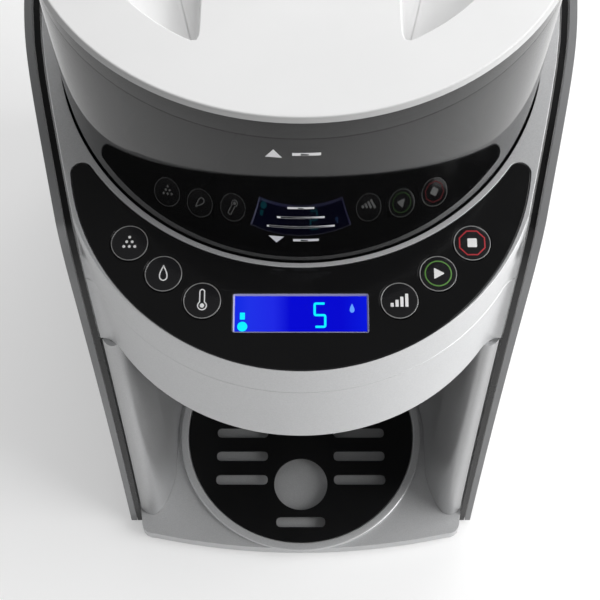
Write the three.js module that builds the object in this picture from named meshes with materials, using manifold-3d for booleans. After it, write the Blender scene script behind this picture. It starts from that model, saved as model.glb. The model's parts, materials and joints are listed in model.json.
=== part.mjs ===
// A baby formula maker: a powder hopper over a bottle bay, with a control panel, a funnel drawer and a rear
// water tank. Lengths are in millimetres, +Z is up and the front faces -Y. The hopper's axis is the middle of
// the plan while the pieces are made, and one shift at the end puts the origin under the machine's middle.
import * as THREE from 'three';
import { mergeVertices } from 'three/addons/utils/BufferGeometryUtils.js';
import Module from 'manifold-3d';

const wasm = await Module();
wasm.setup();

const { degToRad, lerp } = THREE.MathUtils;

// Sizes shared by the whole machine
const clearance = 0.3;
const cutOverrun = 12;
const wall = 2.6;
const quarterTurn = Math.PI / 2;
const machine = { front: -148.6, back: 184.6, halfWidth: 121.5, footHeight: 2.5 };
const deck = { height: 301.4, tilt: degToRad(8.8), thickness: 3.4, halfReach: 400 };
const bay = { centreY: -73.3, radius: 75.5, linerWall: 2.4 };

// Side panels: they narrow towards the front, less so at the floor, and their front edges lean out below
const side = {
  thickness: 3.4, stripThickness: 2.8, stripBand: 14, back: 176, rimRise: 1.2,
  taperBlend: 25, floorTaperShare: 0.153, deckTaperShare: 0.252,
  frontAtDeck: -96, frontAtFloor: -125, cornerRun: 10, cornerShare: 0.9,
};
const bodyInset = side.thickness + side.stripThickness + 2 * clearance;

// Head: the chin band, the plate that closes it below and the collar that carries the deck
const head = {
  depth: 93.2, collarDepth: 43.4, floorThickness: 2.6, back: 111, chinRadius: 101.5, deckRadius: 99.6,
};

// Cheek: beside the nose the head runs out to the side panel in a parabola
const cheek = { setback: 3, blend: 6 };
const headBottom = deck.height - head.depth;
const headSeam = deck.height - head.collarDepth;
const base = {
  top: 12, topThickness: 2.2, skirt: 3, front: -145, frontRadius: 409, cornerMargin: 35.5, cornerRun: 9,
  rearRadius: 26, plateThickness: 2, bossRadius: 5, screwMargin: 33.5, screwY: -40, rearScrewY: 168,
};
const screw = { radius: 1.7, holeRadius: 2, headRadius: 3.6, headHeight: 1.3, depth: 6.2 };
const screwTip = machine.footHeight + screw.depth;
const foot = { radius: 10, frontMargin: 45.5, frontY: -112, rearMargin: 29.5, rearY: 150 };

// Pillar: its front edge is a parabola from the side panel to the bay
const pillar = { setback: 3, shoulder: 7, bulge: 10, depth: 24 };

// Drip tray on the base
const tray = {
  ringRadius: 73.5, ringHeight: 2.3, seatRadius: 69, tubRadius: 66, tubDepth: 5.8, wall: 1.4, ledgeDrop: 1.7,
};
const grate = {
  radius: 68.5, thickness: 1, fingerRadius: 16, fingerY: -106, slotRise: 6, slotPitch: 15,
  slotStart: 20, slotEnd: 51, frontSlotY: -129.5, frontSlotHalf: 14.5, slotRows: 5, slotCornerShare: 0.98,
};

// Hopper, its powder drive and its lid
const hopper = { radius: 103, wall: 2.4, sink: 39.4, height: 119.2, shaftHole: 9 };
const hopperBottom = deck.height - hopper.sink;
const hopperRim = hopperBottom + hopper.height;
const hopperHole = hopper.radius + 3 * clearance;
const outlet = { y: bay.centreY, radius: 12, wall: 2 };
const dock = {
  thickness: 3.2, lipRadius: 106.6, lipHeight: 7, postRadius: 5, postX: 74, postY: 62, shaftHole: 8,
};
const motor = { radius: 18, height: 38, bossRadius: 7, bossHeight: 3.5 };
const shaft = { radius: 5, square: 8, squareLength: 11 };
const wheel = {
  radius: 98, thickness: 8, hubRadius: 12, hubHeight: 19, pockets: 8, pocketRadius: 10.5, lift: 0.6,
};
const stirrer = {
  arms: 4, armWidth: 7, armHeight: 4, reach: 92, bossRadius: 15, sweep: 22, lift: 5, bendShare: 0.6,
};
const guard = { halfWidth: 36, innerY: -45, thickness: 2, rise: 1 };
const lid = {
  edgeRadius: 104.3, topRadius: 103.3, height: 2.3, recessRadius: 80.3, barHalfWidth: 35, recessDeep: 12,
  recessShallow: 1.5, wellWall: 2.2, skirtOuter: 99.4, skirtInner: 96.4, skirtDepth: 9.5,
};
const gasket = { innerRadius: 98.4, outerRadius: 100.3, height: 2.5, drop: 4.6 };

// Control panel, in the deck's own plane
const panel = { innerRadius: 107, outerRadius: 95.45, outerCentre: -53.95, tipRadius: 4.4, thickness: 1.8 };
const button = {
  radius: 7.6, holeRadius: 8, flangeRadius: 8.5, flangeHole: 9, flangeThickness: 1, dome: 0.5,
  stemRadius: 2.2, travel: 1, crownShare: 0.9, crownRiseShare: 0.6,
};
const buttonPlaces = [
  { name: 'button_dose', distance: 118.6, angle: degToRad(-35.7) },
  { name: 'button_water', distance: 122.5, angle: degToRad(-26.7) },
  { name: 'button_heat', distance: 127, angle: degToRad(-18) },
  { name: 'button_amount', distance: 127, angle: degToRad(18) },
  { name: 'button_start', distance: 122.5, angle: degToRad(26.7) },
  { name: 'button_stop', distance: 118.6, angle: degToRad(35.7) },
];
const display = { halfWidth: 27.1, near: -134.1, far: -117.7, moduleRim: 2.8 };
const board = { thickness: 1.6, drop: 7.8, inset: 4, postRadius: 2.5 };
const boardPosts = [{ x: 77.5, s: -83 }, { x: 34, s: -132.5 }];
const membrane = { thickness: 0.8, domeRadius: 4, domeRise: 1.2 };

// Funnel and the drawer that carries it
const rail = { inner: 47, lip: 5, wall: 3, lipThickness: 2.4, drop: 18.2, front: -125, back: -23 };
const railBottom = headBottom - rail.drop;
const drawer = {
  thickness: 2.5, holeRadius: 38, frontHalf: 40, frontThickness: 3, frontDrop: 9, frontRise: 9,
};
const funnel = {
  flangeRadius: 41.5, rimRadius: 40, rimHeight: 9, wall: 1.6, throatRadius: 8, coneDepth: 19.5,
  throatDepth: 4,
};
const nozzle = { x: 24, y: -58, radius: 5, bore: 2.4, rise: 14, flangeRadius: 8, flangeThickness: 2 };

// Water tank and the rear housing below it
const tank = {
  front: 114.6, back: 183.9, halfWidth: 98, floor: 150, height: 149.4, wall: 2.2, corner: 16, lidThickness: 3,
  hingeY: 180.5, hingeRadius: 3, pinRadius: 1.2, pinHole: 1.5, earInner: 34, earThickness: 3,
};
const valve = { x: -45, y: 150, holeRadius: 4.2, stemRadius: 3.6, headRadius: 7, headHeight: 2.2 };
const tankDock = { radius: 8.6, flangeRadius: 12, flangeThickness: 2.4, bore: 6, boreDepth: 11, length: 17 };
const hose = { radius: 4, nippleRadius: 3.4, nippleLength: 8, steps: 26, sides: 8 };
const riser = { x: 48, y: 90 };
const pump = { radius: 17, height: 48, outletHeight: 16 };
const heater = { x: 22, y: 150, halfX: 22, halfY: 18, height: 100 };
const mainBoard = { left: -82, right: -10, y: 96, height: 98, thickness: 1.6 };

// Blocks on the main board: places and sizes as shares of its width and height, depths in its thicknesses
const blockShares = [
  { x: 0.11, z: 0.1, width: 0.33, height: 0.2, depth: 5 },
  { x: 0.55, z: 0.08, width: 0.22, height: 0.28, depth: 4.4 },
  { x: 0.14, z: 0.45, width: 0.25, height: 0.14, depth: 3.8 },
  { x: 0.53, z: 0.53, width: 0.3, height: 0.22, depth: 1.9 },
];
const inlet = {
  x: machine.halfWidth - 49.5, z: 46, halfX: 13.7, halfZ: 9.9, flange: 3.4, flangeThickness: 2.4,
  depth: 24, socketInset: 2.6, socketDepth: 17, pinHalf: 1, pinLength: 12, pinSpread: 7, pinDrop: 3,
};
const powerSwitch = {
  x: 30, z: 46, halfX: 8.5, halfZ: 11, flange: 3, flangeThickness: 2.4, depth: 13, rockerHalfX: 6,
  rockerHalfZ: 7.3, rockerThickness: 5.3, recessHalfZ: 8.2, recessDepth: 7.4,
};
const harness = { radius: 2.4, bend: 4, plugX: -58, plugS: -108, steps: 24, sides: 6 };
const harnessRiser = { x: -66, y: 90 };

// Facets round a full turn, by how large and how visible the piece is
const facets = { large: 48, medium: 28, small: 12, tiny: 8, corner: 3 };

// Colours
const silver = { color: 0xc4c6c9, roughness: 0.34, metalness: 0.55 };
const grey = { color: 0x83858a, roughness: 0.42, metalness: 0.3 };
const black = { color: 0x101114, roughness: 0.12, metalness: 0 };
const darkPlastic = { color: 0x2b2d31, roughness: 0.5, metalness: 0 };
const white = { color: 0xf1f1f0, roughness: 0.38, metalness: 0 };
const smoked = { color: 0x3d4046, roughness: 0.08, metalness: 0, transparent: true, opacity: 0.8 };
const clearPlastic = { color: 0xb9c4cc, roughness: 0.1, metalness: 0, transparent: true, opacity: 0.5 };
const steel = { color: 0xb5b7ba, roughness: 0.25, metalness: 1 };
const boardGreen = { color: 0x1d6b43, roughness: 0.5, metalness: 0.1 };
const screenBlue = { color: 0x1726e6, roughness: 0.15, metalness: 0 };
const rubber = { color: 0x1c1c1e, roughness: 0.85, metalness: 0 };
const siliconeRubber = { color: 0xdcdcdc, roughness: 0.7, metalness: 0 };

// Solids: every cut and join works on merged, position-only geometry

function signedVolume(geometry) {
  const position = geometry.getAttribute('position');
  const index = geometry.index;
  const a = new THREE.Vector3();
  const b = new THREE.Vector3();
  const c = new THREE.Vector3();
  let total = 0;
  for (let i = 0; i < index.count; i += 3) {
    a.fromBufferAttribute(position, index.getX(i));
    b.fromBufferAttribute(position, index.getX(i + 1));
    c.fromBufferAttribute(position, index.getX(i + 2));
    total += a.dot(b.cross(c));
  }
  return total;
}

// Joins shared vertices and turns the faces outwards.
function closed(source) {
  const bare = new THREE.BufferGeometry().setAttribute('position', source.getAttribute('position'));
  bare.setIndex(source.index);
  const merged = mergeVertices(bare, 1e-4);
  const index = merged.index.array;
  const kept = [];
  for (let i = 0; i < index.length; i += 3) {
    const [p, q, r] = [index[i], index[i + 1], index[i + 2]];
    if (p !== q && q !== r && r !== p) kept.push(p, q, r);
  }
  merged.setIndex(kept);
  if (signedVolume(merged) < 0) {
    for (let i = 0; i < kept.length; i += 3) [kept[i + 1], kept[i + 2]] = [kept[i + 2], kept[i + 1]];
    merged.setIndex(kept);
  }
  return merged;
}

function solid(source) {
  if (!source.isBufferGeometry) return source;
  const geometry = closed(source);
  const vertProperties = new Float32Array(geometry.getAttribute('position').array);
  const triVerts = new Uint32Array(geometry.index.array);
  return new wasm.Manifold(new wasm.Mesh({ numProp: 3, vertProperties, triVerts }));
}

const join = (first, ...others) => others.reduce((sum, next) => sum.add(solid(next)), solid(first));
const cut = (first, ...others) => others.reduce((rest, next) => rest.subtract(solid(next)), solid(first));
const overlap = (first, second) => solid(first).intersect(solid(second));

function geometryOf(body) {
  const mesh = body.getMesh();
  const positions = new Float32Array(mesh.numVert * 3);
  for (let i = 0; i < mesh.numVert; i++)
    for (let axis = 0; axis < 3; axis++)
      positions[3 * i + axis] = mesh.vertProperties[mesh.numProp * i + axis];
  const geometry = new THREE.BufferGeometry();
  geometry.setAttribute('position', new THREE.BufferAttribute(positions, 3));
  geometry.setIndex(Array.from(mesh.triVerts));
  return geometry;
}

// Basic shapes, made from three.js classes

function box(x0, x1, y0, y1, z0, z1) {
  return new THREE.BoxGeometry(x1 - x0, y1 - y0, z1 - z0)
    .translate((x0 + x1) / 2, (y0 + y1) / 2, (z0 + z1) / 2);
}

function rod(radius, z0, z1, x = 0, y = 0, sides = facets.small) {
  return new THREE.CylinderGeometry(radius, radius, z1 - z0, sides)
    .rotateX(quarterTurn)
    .translate(x, y, (z0 + z1) / 2);
}

function rodAlongX(radius, x0, x1, y, z, sides = facets.tiny) {
  return new THREE.CylinderGeometry(radius, radius, x1 - x0, sides)
    .rotateZ(quarterTurn)
    .translate((x0 + x1) / 2, y, z);
}

// A profile of [radius, height] pairs turned about a vertical axis.
function turned(profile, x = 0, y = 0, sides = facets.medium) {
  const points = profile.map(([radius, height]) => new THREE.Vector2(radius, height));
  if (profile[0][0] > 0) points.push(points[0].clone());
  return new THREE.LatheGeometry(points, sides).rotateX(quarterTurn).translate(x, y, 0);
}

function prism(shape, z0, z1, curveSegments = 12) {
  return new THREE.ExtrudeGeometry(shape, { depth: z1 - z0, bevelEnabled: false, curveSegments })
    .translate(0, 0, z0);
}

function roundedRectangle(x0, x1, y0, y1, radius) {
  const shape = new THREE.Shape();
  shape.moveTo(x0 + radius, y0);
  shape.lineTo(x1 - radius, y0);
  shape.absarc(x1 - radius, y0 + radius, radius, -quarterTurn, 0);
  shape.lineTo(x1, y1 - radius);
  shape.absarc(x1 - radius, y1 - radius, radius, 0, quarterTurn);
  shape.lineTo(x0 + radius, y1);
  shape.absarc(x0 + radius, y1 - radius, radius, quarterTurn, 2 * quarterTurn);
  shape.lineTo(x0, y0 + radius);
  shape.absarc(x0 + radius, y0 + radius, radius, 2 * quarterTurn, 3 * quarterTurn);
  return shape;
}

// Joins outlines of as many points each, from the lowest to the highest, and caps both ends.
function loft(levels) {
  const count = levels[0].length;
  const positions = levels.flat().flatMap((point) => [point.x, point.y, point.z]);
  const triangles = [];
  for (let level = 0; level + 1 < levels.length; level++)
    for (let i = 0; i < count; i++) {
      const a = level * count + i;
      const b = level * count + ((i + 1) % count);
      triangles.push(a, b, b + count, a, b + count, a + count);
    }
  const capOf = (outline) => THREE.ShapeUtils.triangulateShape(
    outline.map((point) => new THREE.Vector2(point.x, point.y)), []);
  const top = (levels.length - 1) * count;
  for (const [a, b, c] of capOf(levels[0])) triangles.push(a, c, b);
  for (const [a, b, c] of capOf(levels[levels.length - 1])) triangles.push(top + a, top + b, top + c);
  const geometry = new THREE.BufferGeometry();
  geometry.setAttribute('position', new THREE.Float32BufferAttribute(positions, 3));
  geometry.setIndex(triangles);
  return geometry;
}

function tube(points, radius, steps, sides) {
  const section = new THREE.Shape();
  for (let i = 0; i < sides; i++) {
    const angle = (i / sides) * 2 * Math.PI;
    const [x, y] = [radius * Math.cos(angle), radius * Math.sin(angle)];
    if (i) section.lineTo(x, y);
    else section.moveTo(x, y);
  }
  const places = points.map(([x, y, z]) => new THREE.Vector3(x, y, z));
  const path = new THREE.CatmullRomCurve3(places, false, 'centripetal');
  return new THREE.ExtrudeGeometry(section, { steps, extrudePath: path, bevelEnabled: false });
}

function mirrored(geometry) {
  return closed(geometry.clone().scale(-1, 1, 1));
}

// Outlines of the machine

const deckHeightAt = (y) => deck.height + Math.tan(deck.tilt) * y;

// Half width of the machine at a place, less an inset from the outer face.
function halfWidthAt(y, z, inset) {
  const taperShare = lerp(side.floorTaperShare, side.deckTaperShare, z / deck.height);
  return machine.halfWidth - inset - (taperShare * (Math.hypot(y, side.taperBlend) - y)) / 2;
}

// The sides' front edge leans back, and an ellipse rounds its upper end. The share is of the edge's height.
function sideFront(share) {
  const turn = Math.max(0, (share - side.cornerShare) / (1 - side.cornerShare));
  return lerp(side.frontAtFloor, side.frontAtDeck, share) + side.cornerRun * (1 - Math.sqrt(1 - turn * turn));
}
const sideTop = deckHeightAt(side.frontAtDeck);
const sideFrontAt = (z) => sideFront(Math.min(z / sideTop, 1));

// Right half of the head's outline: the nose's arc, the cheek, then the side as far as the back.
function headOutline(z, inset, back) {
  const rise = (z - headBottom) / (deck.height - headBottom);
  const radius = lerp(head.chinRadius, head.deckRadius, rise) - inset;
  const centreY = machine.front + inset + radius;
  const front = sideFrontAt(z) + cheek.setback + inset;
  const leaveY = front - cheek.blend;
  const leaveAngle = Math.acos((centreY - leaveY) / radius);
  const leaveX = radius * Math.sin(leaveAngle);
  const half = [];
  const noseSteps = 13;
  for (let i = 0; i <= noseSteps; i++) {
    const angle = (leaveAngle * i) / noseSteps;
    half.push([radius * Math.sin(angle), centreY - radius * Math.cos(angle)]);
  }
  const curve = new THREE.QuadraticBezierCurve(
    new THREE.Vector2(leaveX, leaveY),
    new THREE.Vector2(leaveX + cheek.blend / Math.tan(leaveAngle), front),
    new THREE.Vector2(halfWidthAt(front, z, bodyInset + inset), front));
  const cheekSteps = 4;
  for (const point of curve.getPoints(cheekSteps).slice(1)) half.push([point.x, point.y]);
  const sideSteps = 6;
  for (let i = 1; i <= sideSteps; i++) {
    const y = lerp(front, back, i / sideSteps);
    half.push([halfWidthAt(y, z, bodyInset + inset), y]);
  }
  return bothSides(half, z);
}

// A whole outline from its right half, which starts on the middle plane.
function bothSides(half, z) {
  const right = half.map(([x, y]) => new THREE.Vector3(x, y, z));
  const left = half.slice(1).reverse().map(([x, y]) => new THREE.Vector3(-x, y, z));
  return [...right, ...left];
}

// The same for a half that starts and ends off the middle plane, such as the bay's liner.
function ribbon(half, thickness, z) {
  const path = [...half.map(([x, y]) => [-x, y]).reverse(), ...half.slice(1)];
  const offset = path.map(([x, y], i) => {
    const [px, py] = path[Math.max(i - 1, 0)];
    const [nx, ny] = path[Math.min(i + 1, path.length - 1)];
    const length = Math.hypot(nx - px, ny - py);
    return [x + (thickness * (py - ny)) / length, y + (thickness * (nx - px)) / length];
  });
  return [...path, ...offset.reverse()].map(([x, y]) => new THREE.Vector3(x, y, z));
}

// The deck's plane, as a transform from its own axes: x, s along the slope and h above the surface
const deckMatrix = new THREE.Matrix4().makeRotationX(deck.tilt).setPosition(0, 0, deck.height);
const onDeck = (geometry) => geometry.applyMatrix4(deckMatrix);

function belowDeck(drop) {
  const reach = deck.halfReach;
  return onDeck(box(-reach, reach, -reach, reach, -reach, -drop));
}

// Side panels and their black strips

function sideSheet(inset, thickness, bottom, rise, front, back) {
  const cornerSteps = 5;
  const cornerShares = Array.from({ length: cornerSteps }, (_, i) =>
    lerp(side.cornerShare, 1, Math.sin((quarterTurn * (i + 1)) / cornerSteps)));
  const lowerSteps = 3;
  const lowerShares = Array.from({ length: lowerSteps + 1 }, (_, i) => (side.cornerShare * i) / lowerSteps);
  const steps = 16;
  const levels = [...lowerShares, ...cornerShares].map((share) => {
    const pointAt = (i, depth) => {
      const y = lerp(sideFront(share) + front, back, i / steps);
      const z = lerp(bottom, deckHeightAt(y) + rise, share);
      return new THREE.Vector3(halfWidthAt(y, z, depth), y, z);
    };
    const outer = Array.from({ length: steps + 1 }, (_, i) => pointAt(i, inset));
    const inner = Array.from({ length: steps + 1 }, (_, i) => pointAt(steps - i, inset + thickness));
    return [...outer, ...inner];
  });
  return loft(levels);
}

function sidePanel() {
  return closed(sideSheet(0, side.thickness, machine.footHeight + clearance, side.rimRise, 0, side.back));
}

function trimStrip() {
  const inset = side.thickness + clearance;
  const sheet = sideSheet(inset, side.stripThickness, machine.footHeight + clearance, 0, 0, side.back);
  const middle = sideSheet(inset - cutOverrun, side.stripThickness + 2 * cutOverrun,
    machine.footHeight + side.stripBand, -side.stripBand, side.stripBand, side.back + cutOverrun);
  return cut(sheet, middle);
}

// Base

function baseHalfOutline(inset, back, z) {
  const half = [];
  const frontSteps = 8;
  const cornerSteps = 5;
  const frontY = (x) => base.front + inset + (x * x) / (2 * base.frontRadius);
  const cornerStart = machine.halfWidth - base.cornerMargin - inset;
  for (let i = 0; i <= frontSteps; i++) {
    const x = (cornerStart * i) / frontSteps;
    half.push([x, frontY(x)]);
  }
  const cornerY = frontY(cornerStart);
  const sideY = cornerY + base.cornerRun;
  const sideX = halfWidthAt(sideY, z, bodyInset + inset);
  const corner = new THREE.QuadraticBezierCurve(
    new THREE.Vector2(cornerStart, cornerY),
    new THREE.Vector2(sideX, cornerY),
    new THREE.Vector2(sideX, sideY));
  for (const point of corner.getPoints(cornerSteps).slice(1)) half.push([point.x, point.y]);
  const rearRadius = base.rearRadius - inset;
  const sideEnd = back - rearRadius;
  const sideSteps = 6;
  for (let i = 1; i <= sideSteps; i++) {
    const y = lerp(sideY, sideEnd, i / sideSteps);
    half.push([halfWidthAt(y, z, bodyInset + inset), y]);
  }
  half.push(...rearCorner(half[half.length - 1], rearRadius));
  return half;
}

// A rounded corner from the end of a side round to the back.
function rearCorner([x, y], radius) {
  const steps = 5;
  return Array.from({ length: steps }, (_, i) => {
    const angle = (quarterTurn * (i + 1)) / steps;
    return [x - radius * (1 - Math.cos(angle)), y + radius * Math.sin(angle)];
  });
}

function basePrism(inset, back, z0, z1) {
  return loft([z0, z1].map((z) => bothSides(baseHalfOutline(inset, back, z), z)));
}

const screwX = machine.halfWidth - base.screwMargin;
const screwPlaces = {
  base_screw_right: [screwX, base.screwY],
  base_screw_left: [-screwX, base.screwY],
  base_screw_rear: [0, base.rearScrewY],
};

function baseShell() {
  const bottom = machine.footHeight + clearance;
  const ceiling = base.top - base.topThickness;
  const tubHole = tray.tubRadius + clearance;
  let shell = cut(
    basePrism(0, machine.back, bottom, base.top),
    basePrism(base.skirt, machine.back - base.skirt, bottom - cutOverrun, ceiling),
    rod(tubHole, bottom - cutOverrun, base.top + cutOverrun, 0, bay.centreY, facets.large));
  const bossBottom = bottom + base.plateThickness + clearance;
  for (const [x, y] of Object.values(screwPlaces))
    shell = cut(
      join(shell, rod(base.bossRadius, bossBottom, ceiling + base.topThickness / 2, x, y, facets.tiny)),
      rod(screw.holeRadius, bossBottom - cutOverrun, screwTip + clearance, x, y, facets.tiny));
  return shell;
}

function bottomPlate() {
  const bottom = machine.footHeight + clearance;
  const inset = base.skirt + clearance;
  let plate = solid(basePrism(inset, machine.back - inset, bottom, bottom + base.plateThickness));
  for (const [x, y] of Object.values(screwPlaces))
    plate = cut(plate, rod(screw.holeRadius, bottom - cutOverrun, bottom + cutOverrun, x, y, facets.tiny));
  return plate;
}

function baseScrew([x, y]) {
  const underside = machine.footHeight;
  return join(
    rod(screw.headRadius, underside - screw.headHeight, underside, x, y, facets.tiny),
    rod(screw.radius, underside - screw.headHeight / 2, screwTip, x, y, facets.tiny));
}

const footFrontX = machine.halfWidth - foot.frontMargin;
const footRearX = machine.halfWidth - foot.rearMargin;
const footPlaces = {
  foot_front_right: [footFrontX, foot.frontY],
  foot_front_left: [-footFrontX, foot.frontY],
  foot_rear_right: [footRearX, foot.rearY],
  foot_rear_left: [-footRearX, foot.rearY],
};
const rubberFoot = ([x, y]) => rod(foot.radius, 0, machine.footHeight, x, y);

// Bay: the pillars' fronts and a round wall behind the bottle

function bayHalfPath(z) {
  const front = sideFrontAt(z);
  const nose = new THREE.QuadraticBezierCurve(
    new THREE.Vector2(halfWidthAt(front, z, bodyInset), front + pillar.setback),
    new THREE.Vector2(bay.radius + pillar.shoulder, front - pillar.bulge),
    new THREE.Vector2(bay.radius, front + pillar.depth));
  const half = [];
  const backSteps = 10;
  for (let i = 0; i <= backSteps; i++) {
    const angle = (quarterTurn * i) / backSteps;
    half.push([bay.radius * Math.sin(angle), bay.centreY + bay.radius * Math.cos(angle)]);
  }
  const nosePoints = nose.getPoints(6).reverse();
  return [...half, ...nosePoints.map((point) => [point.x, point.y])];
}

function bayLiner() {
  const [bottom, top] = [base.top + clearance, headBottom - clearance];
  return loft([bottom, top].map((z) => ribbon(bayHalfPath(z), bay.linerWall, z)));
}

// Head

function headPrism(inset, back, z0, z1) {
  return loft([z0, z1].map((z) => headOutline(z, inset, back)));
}

function headShell() {
  const top = headSeam - clearance;
  return cut(
    headPrism(0, head.back, headBottom, top),
    headPrism(wall, head.back - wall, headBottom - cutOverrun, top + cutOverrun));
}

function headFloor() {
  const inset = wall + clearance;
  const [z0, z1] = [headBottom, headBottom + head.floorThickness];
  return cut(
    headPrism(inset, head.back - inset, z0, z1),
    rod(outlet.radius + clearance, z0 - cutOverrun, z1 + cutOverrun, 0, outlet.y),
    rod(nozzle.radius + clearance, z0 - cutOverrun, z1 + cutOverrun, nozzle.x, nozzle.y),
    rod(2 * hose.radius, z0 - cutOverrun, z1 + cutOverrun, riser.x, riser.y),
    rod(2 * hose.radius, z0 - cutOverrun, z1 + cutOverrun, harnessRiser.x, harnessRiser.y));
}

function crescent(inset) {
  const outerRadius = panel.outerRadius - inset;
  const innerRadius = panel.innerRadius + inset;
  const tipRadius = panel.tipRadius - inset;
  const across = (panel.innerRadius + panel.tipRadius) ** 2 - (panel.outerRadius - panel.tipRadius) ** 2;
  const tipS = (across + panel.outerCentre ** 2) / (2 * panel.outerCentre);
  const tipX = Math.sqrt((panel.innerRadius + panel.tipRadius) ** 2 - tipS ** 2);
  const outerAngle = Math.atan2(tipS - panel.outerCentre, tipX);
  const innerAngle = Math.atan2(tipS, tipX);
  const arc = (x, s, radius, from, to, steps) => Array.from({ length: steps }, (_, i) => {
    const angle = lerp(from, to, (i + 0.5) / steps);
    return new THREE.Vector2(x + radius * Math.cos(angle), s + radius * Math.sin(angle));
  });
  const [longSteps, tipSteps] = [24, 4];
  return new THREE.Shape([
    ...arc(0, panel.outerCentre, outerRadius, -Math.PI - outerAngle, outerAngle, longSteps),
    ...arc(tipX, tipS, tipRadius, outerAngle, innerAngle + Math.PI, tipSteps),
    ...arc(0, 0, innerRadius, innerAngle, -Math.PI - innerAngle, longSteps),
    ...arc(-tipX, tipS, tipRadius, -innerAngle, Math.PI - outerAngle, tipSteps),
  ]);
}

const buttonSpots = buttonPlaces.map(({ name, distance, angle }) => ({
  name, x: distance * Math.sin(angle), s: -distance * Math.cos(angle),
}));

function topCollar() {
  const bottom = headSeam;
  const ceiling = deckHeightAt(head.back) + cutOverrun;
  const outside = overlap(headPrism(0, head.back, bottom, ceiling), belowDeck(0));
  const inside = overlap(
    headPrism(wall, head.back - wall, bottom - cutOverrun, ceiling), belowDeck(deck.thickness));
  let collar = cut(outside, inside,
    rod(hopperHole, bottom - cutOverrun, ceiling + cutOverrun, 0, 0, facets.large),
    onDeck(prism(crescent(-clearance), -(panel.thickness + clearance), cutOverrun, facets.small)));
  for (const { x, s } of buttonSpots)
    collar = cut(collar, onDeck(rod(button.flangeHole, -cutOverrun, 0, x, s, facets.small)));
  collar = cut(collar, onDeck(box(-display.halfWidth - clearance, display.halfWidth + clearance,
    display.near - clearance, display.far + clearance, -cutOverrun, 0)));
  for (const { x, s } of boardPosts)
    for (const place of [x, -x])
      collar = join(collar, onDeck(rod(board.postRadius, -(board.drop - clearance),
        -(panel.thickness + clearance + wall / 4), place, s, facets.tiny)));
  return collar;
}

function controlPanel() {
  let plate = solid(onDeck(prism(crescent(0), -panel.thickness, 0, facets.small)));
  for (const { x, s } of buttonSpots)
    plate = cut(plate, onDeck(rod(button.holeRadius, -cutOverrun, cutOverrun, x, s, facets.small)));
  return cut(plate, onDeck(box(-display.halfWidth, display.halfWidth, display.near, display.far,
    -cutOverrun, cutOverrun)));
}

function displayWindow() {
  return onDeck(box(-display.halfWidth + clearance, display.halfWidth - clearance,
    display.near + clearance, display.far - clearance, -deck.thickness, -clearance / 3));
}

function displayModule() {
  const half = display.halfWidth + display.moduleRim;
  return onDeck(box(-half, half, display.near - display.moduleRim, display.far + display.moduleRim,
    -(board.drop - clearance), -(deck.thickness + clearance)));
}

function panelBoard() {
  return onDeck(prism(crescent(board.inset), -(board.drop + board.thickness), -board.drop, facets.small));
}

// A rubber sheet on the circuit board, with a dome below each button and openings for display and posts.
function keyMembrane() {
  const bottom = -(board.drop - clearance);
  const top = bottom + membrane.thickness;
  const half = display.halfWidth + display.moduleRim + clearance;
  let sheet = cut(
    prism(crescent(board.inset), bottom, top, facets.small),
    box(-half, half, display.near - display.moduleRim - clearance,
      display.far + display.moduleRim + clearance, bottom - cutOverrun, top + cutOverrun));
  const postHole = board.postRadius + clearance;
  for (const { x, s } of boardPosts)
    for (const place of [x, -x])
      sheet = cut(sheet, rod(postHole, bottom - cutOverrun, top + cutOverrun, place, s, facets.tiny));
  const domeBottom = bottom + membrane.thickness / 2;
  const domeTop = bottom + membrane.domeRise;
  for (const { x, s } of buttonSpots)
    sheet = join(sheet, rod(membrane.domeRadius, domeBottom, domeTop, x, s, facets.tiny));
  return onDeck(geometryOf(sheet));
}

function pushButton(x, s) {
  const flangeTop = -(panel.thickness + clearance);
  const stemBottom = -(board.drop - clearance) + membrane.domeRise + clearance + button.travel;
  const profile = [
    [0, stemBottom], [button.stemRadius, stemBottom], [button.stemRadius, flangeTop - button.flangeThickness],
    [button.flangeRadius, flangeTop - button.flangeThickness], [button.flangeRadius, flangeTop],
    [button.radius, flangeTop], [button.radius, 0],
    [button.radius * button.crownShare, button.dome * button.crownRiseShare], [0, button.dome],
  ];
  return onDeck(turned(profile, x, s, facets.small));
}

// Powder drive

function hopperDock() {
  const top = hopperBottom - clearance;
  const bottom = top - dock.thickness;
  let plate = solid(turned([
    [0, bottom], [dock.lipRadius, bottom], [dock.lipRadius, top + dock.lipHeight],
    [hopperHole, top + dock.lipHeight], [hopperHole, top], [0, top],
  ], 0, 0, facets.medium));
  plate = cut(plate,
    rod(dock.shaftHole, bottom - cutOverrun, top + cutOverrun),
    rod(outlet.radius + clearance, bottom - cutOverrun, top + cutOverrun, 0, outlet.y));
  const postBottom = headBottom + head.floorThickness + clearance;
  for (const x of [dock.postX, -dock.postX])
    for (const y of [dock.postY, -dock.postY])
      plate = join(plate, rod(dock.postRadius, postBottom, bottom + dock.thickness / 2, x, y, facets.tiny));
  return plate;
}

function powderMotor() {
  const top = hopperBottom - dock.thickness - 2 * clearance;
  const shoulder = top - motor.bossHeight;
  return join(
    rod(motor.radius, shoulder - motor.height, shoulder, 0, 0, facets.small),
    rod(motor.bossRadius, shoulder - motor.bossHeight, top, 0, 0, facets.small));
}

function driveShaft() {
  const bottom = hopperBottom - dock.thickness - clearance;
  const squareBottom = hopperBottom + hopper.wall / 2;
  return join(
    rod(shaft.radius, bottom, squareBottom),
    box(-shaft.square / 2, shaft.square / 2, -shaft.square / 2, shaft.square / 2,
      squareBottom - clearance, squareBottom + shaft.squareLength));
}

function powderChute() {
  const [z0, z1] = [headBottom + clearance, hopperBottom - clearance];
  return cut(
    rod(outlet.radius, z0, z1, 0, outlet.y),
    rod(outlet.radius - outlet.wall, z0 - cutOverrun, z1 + cutOverrun, 0, outlet.y));
}

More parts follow.
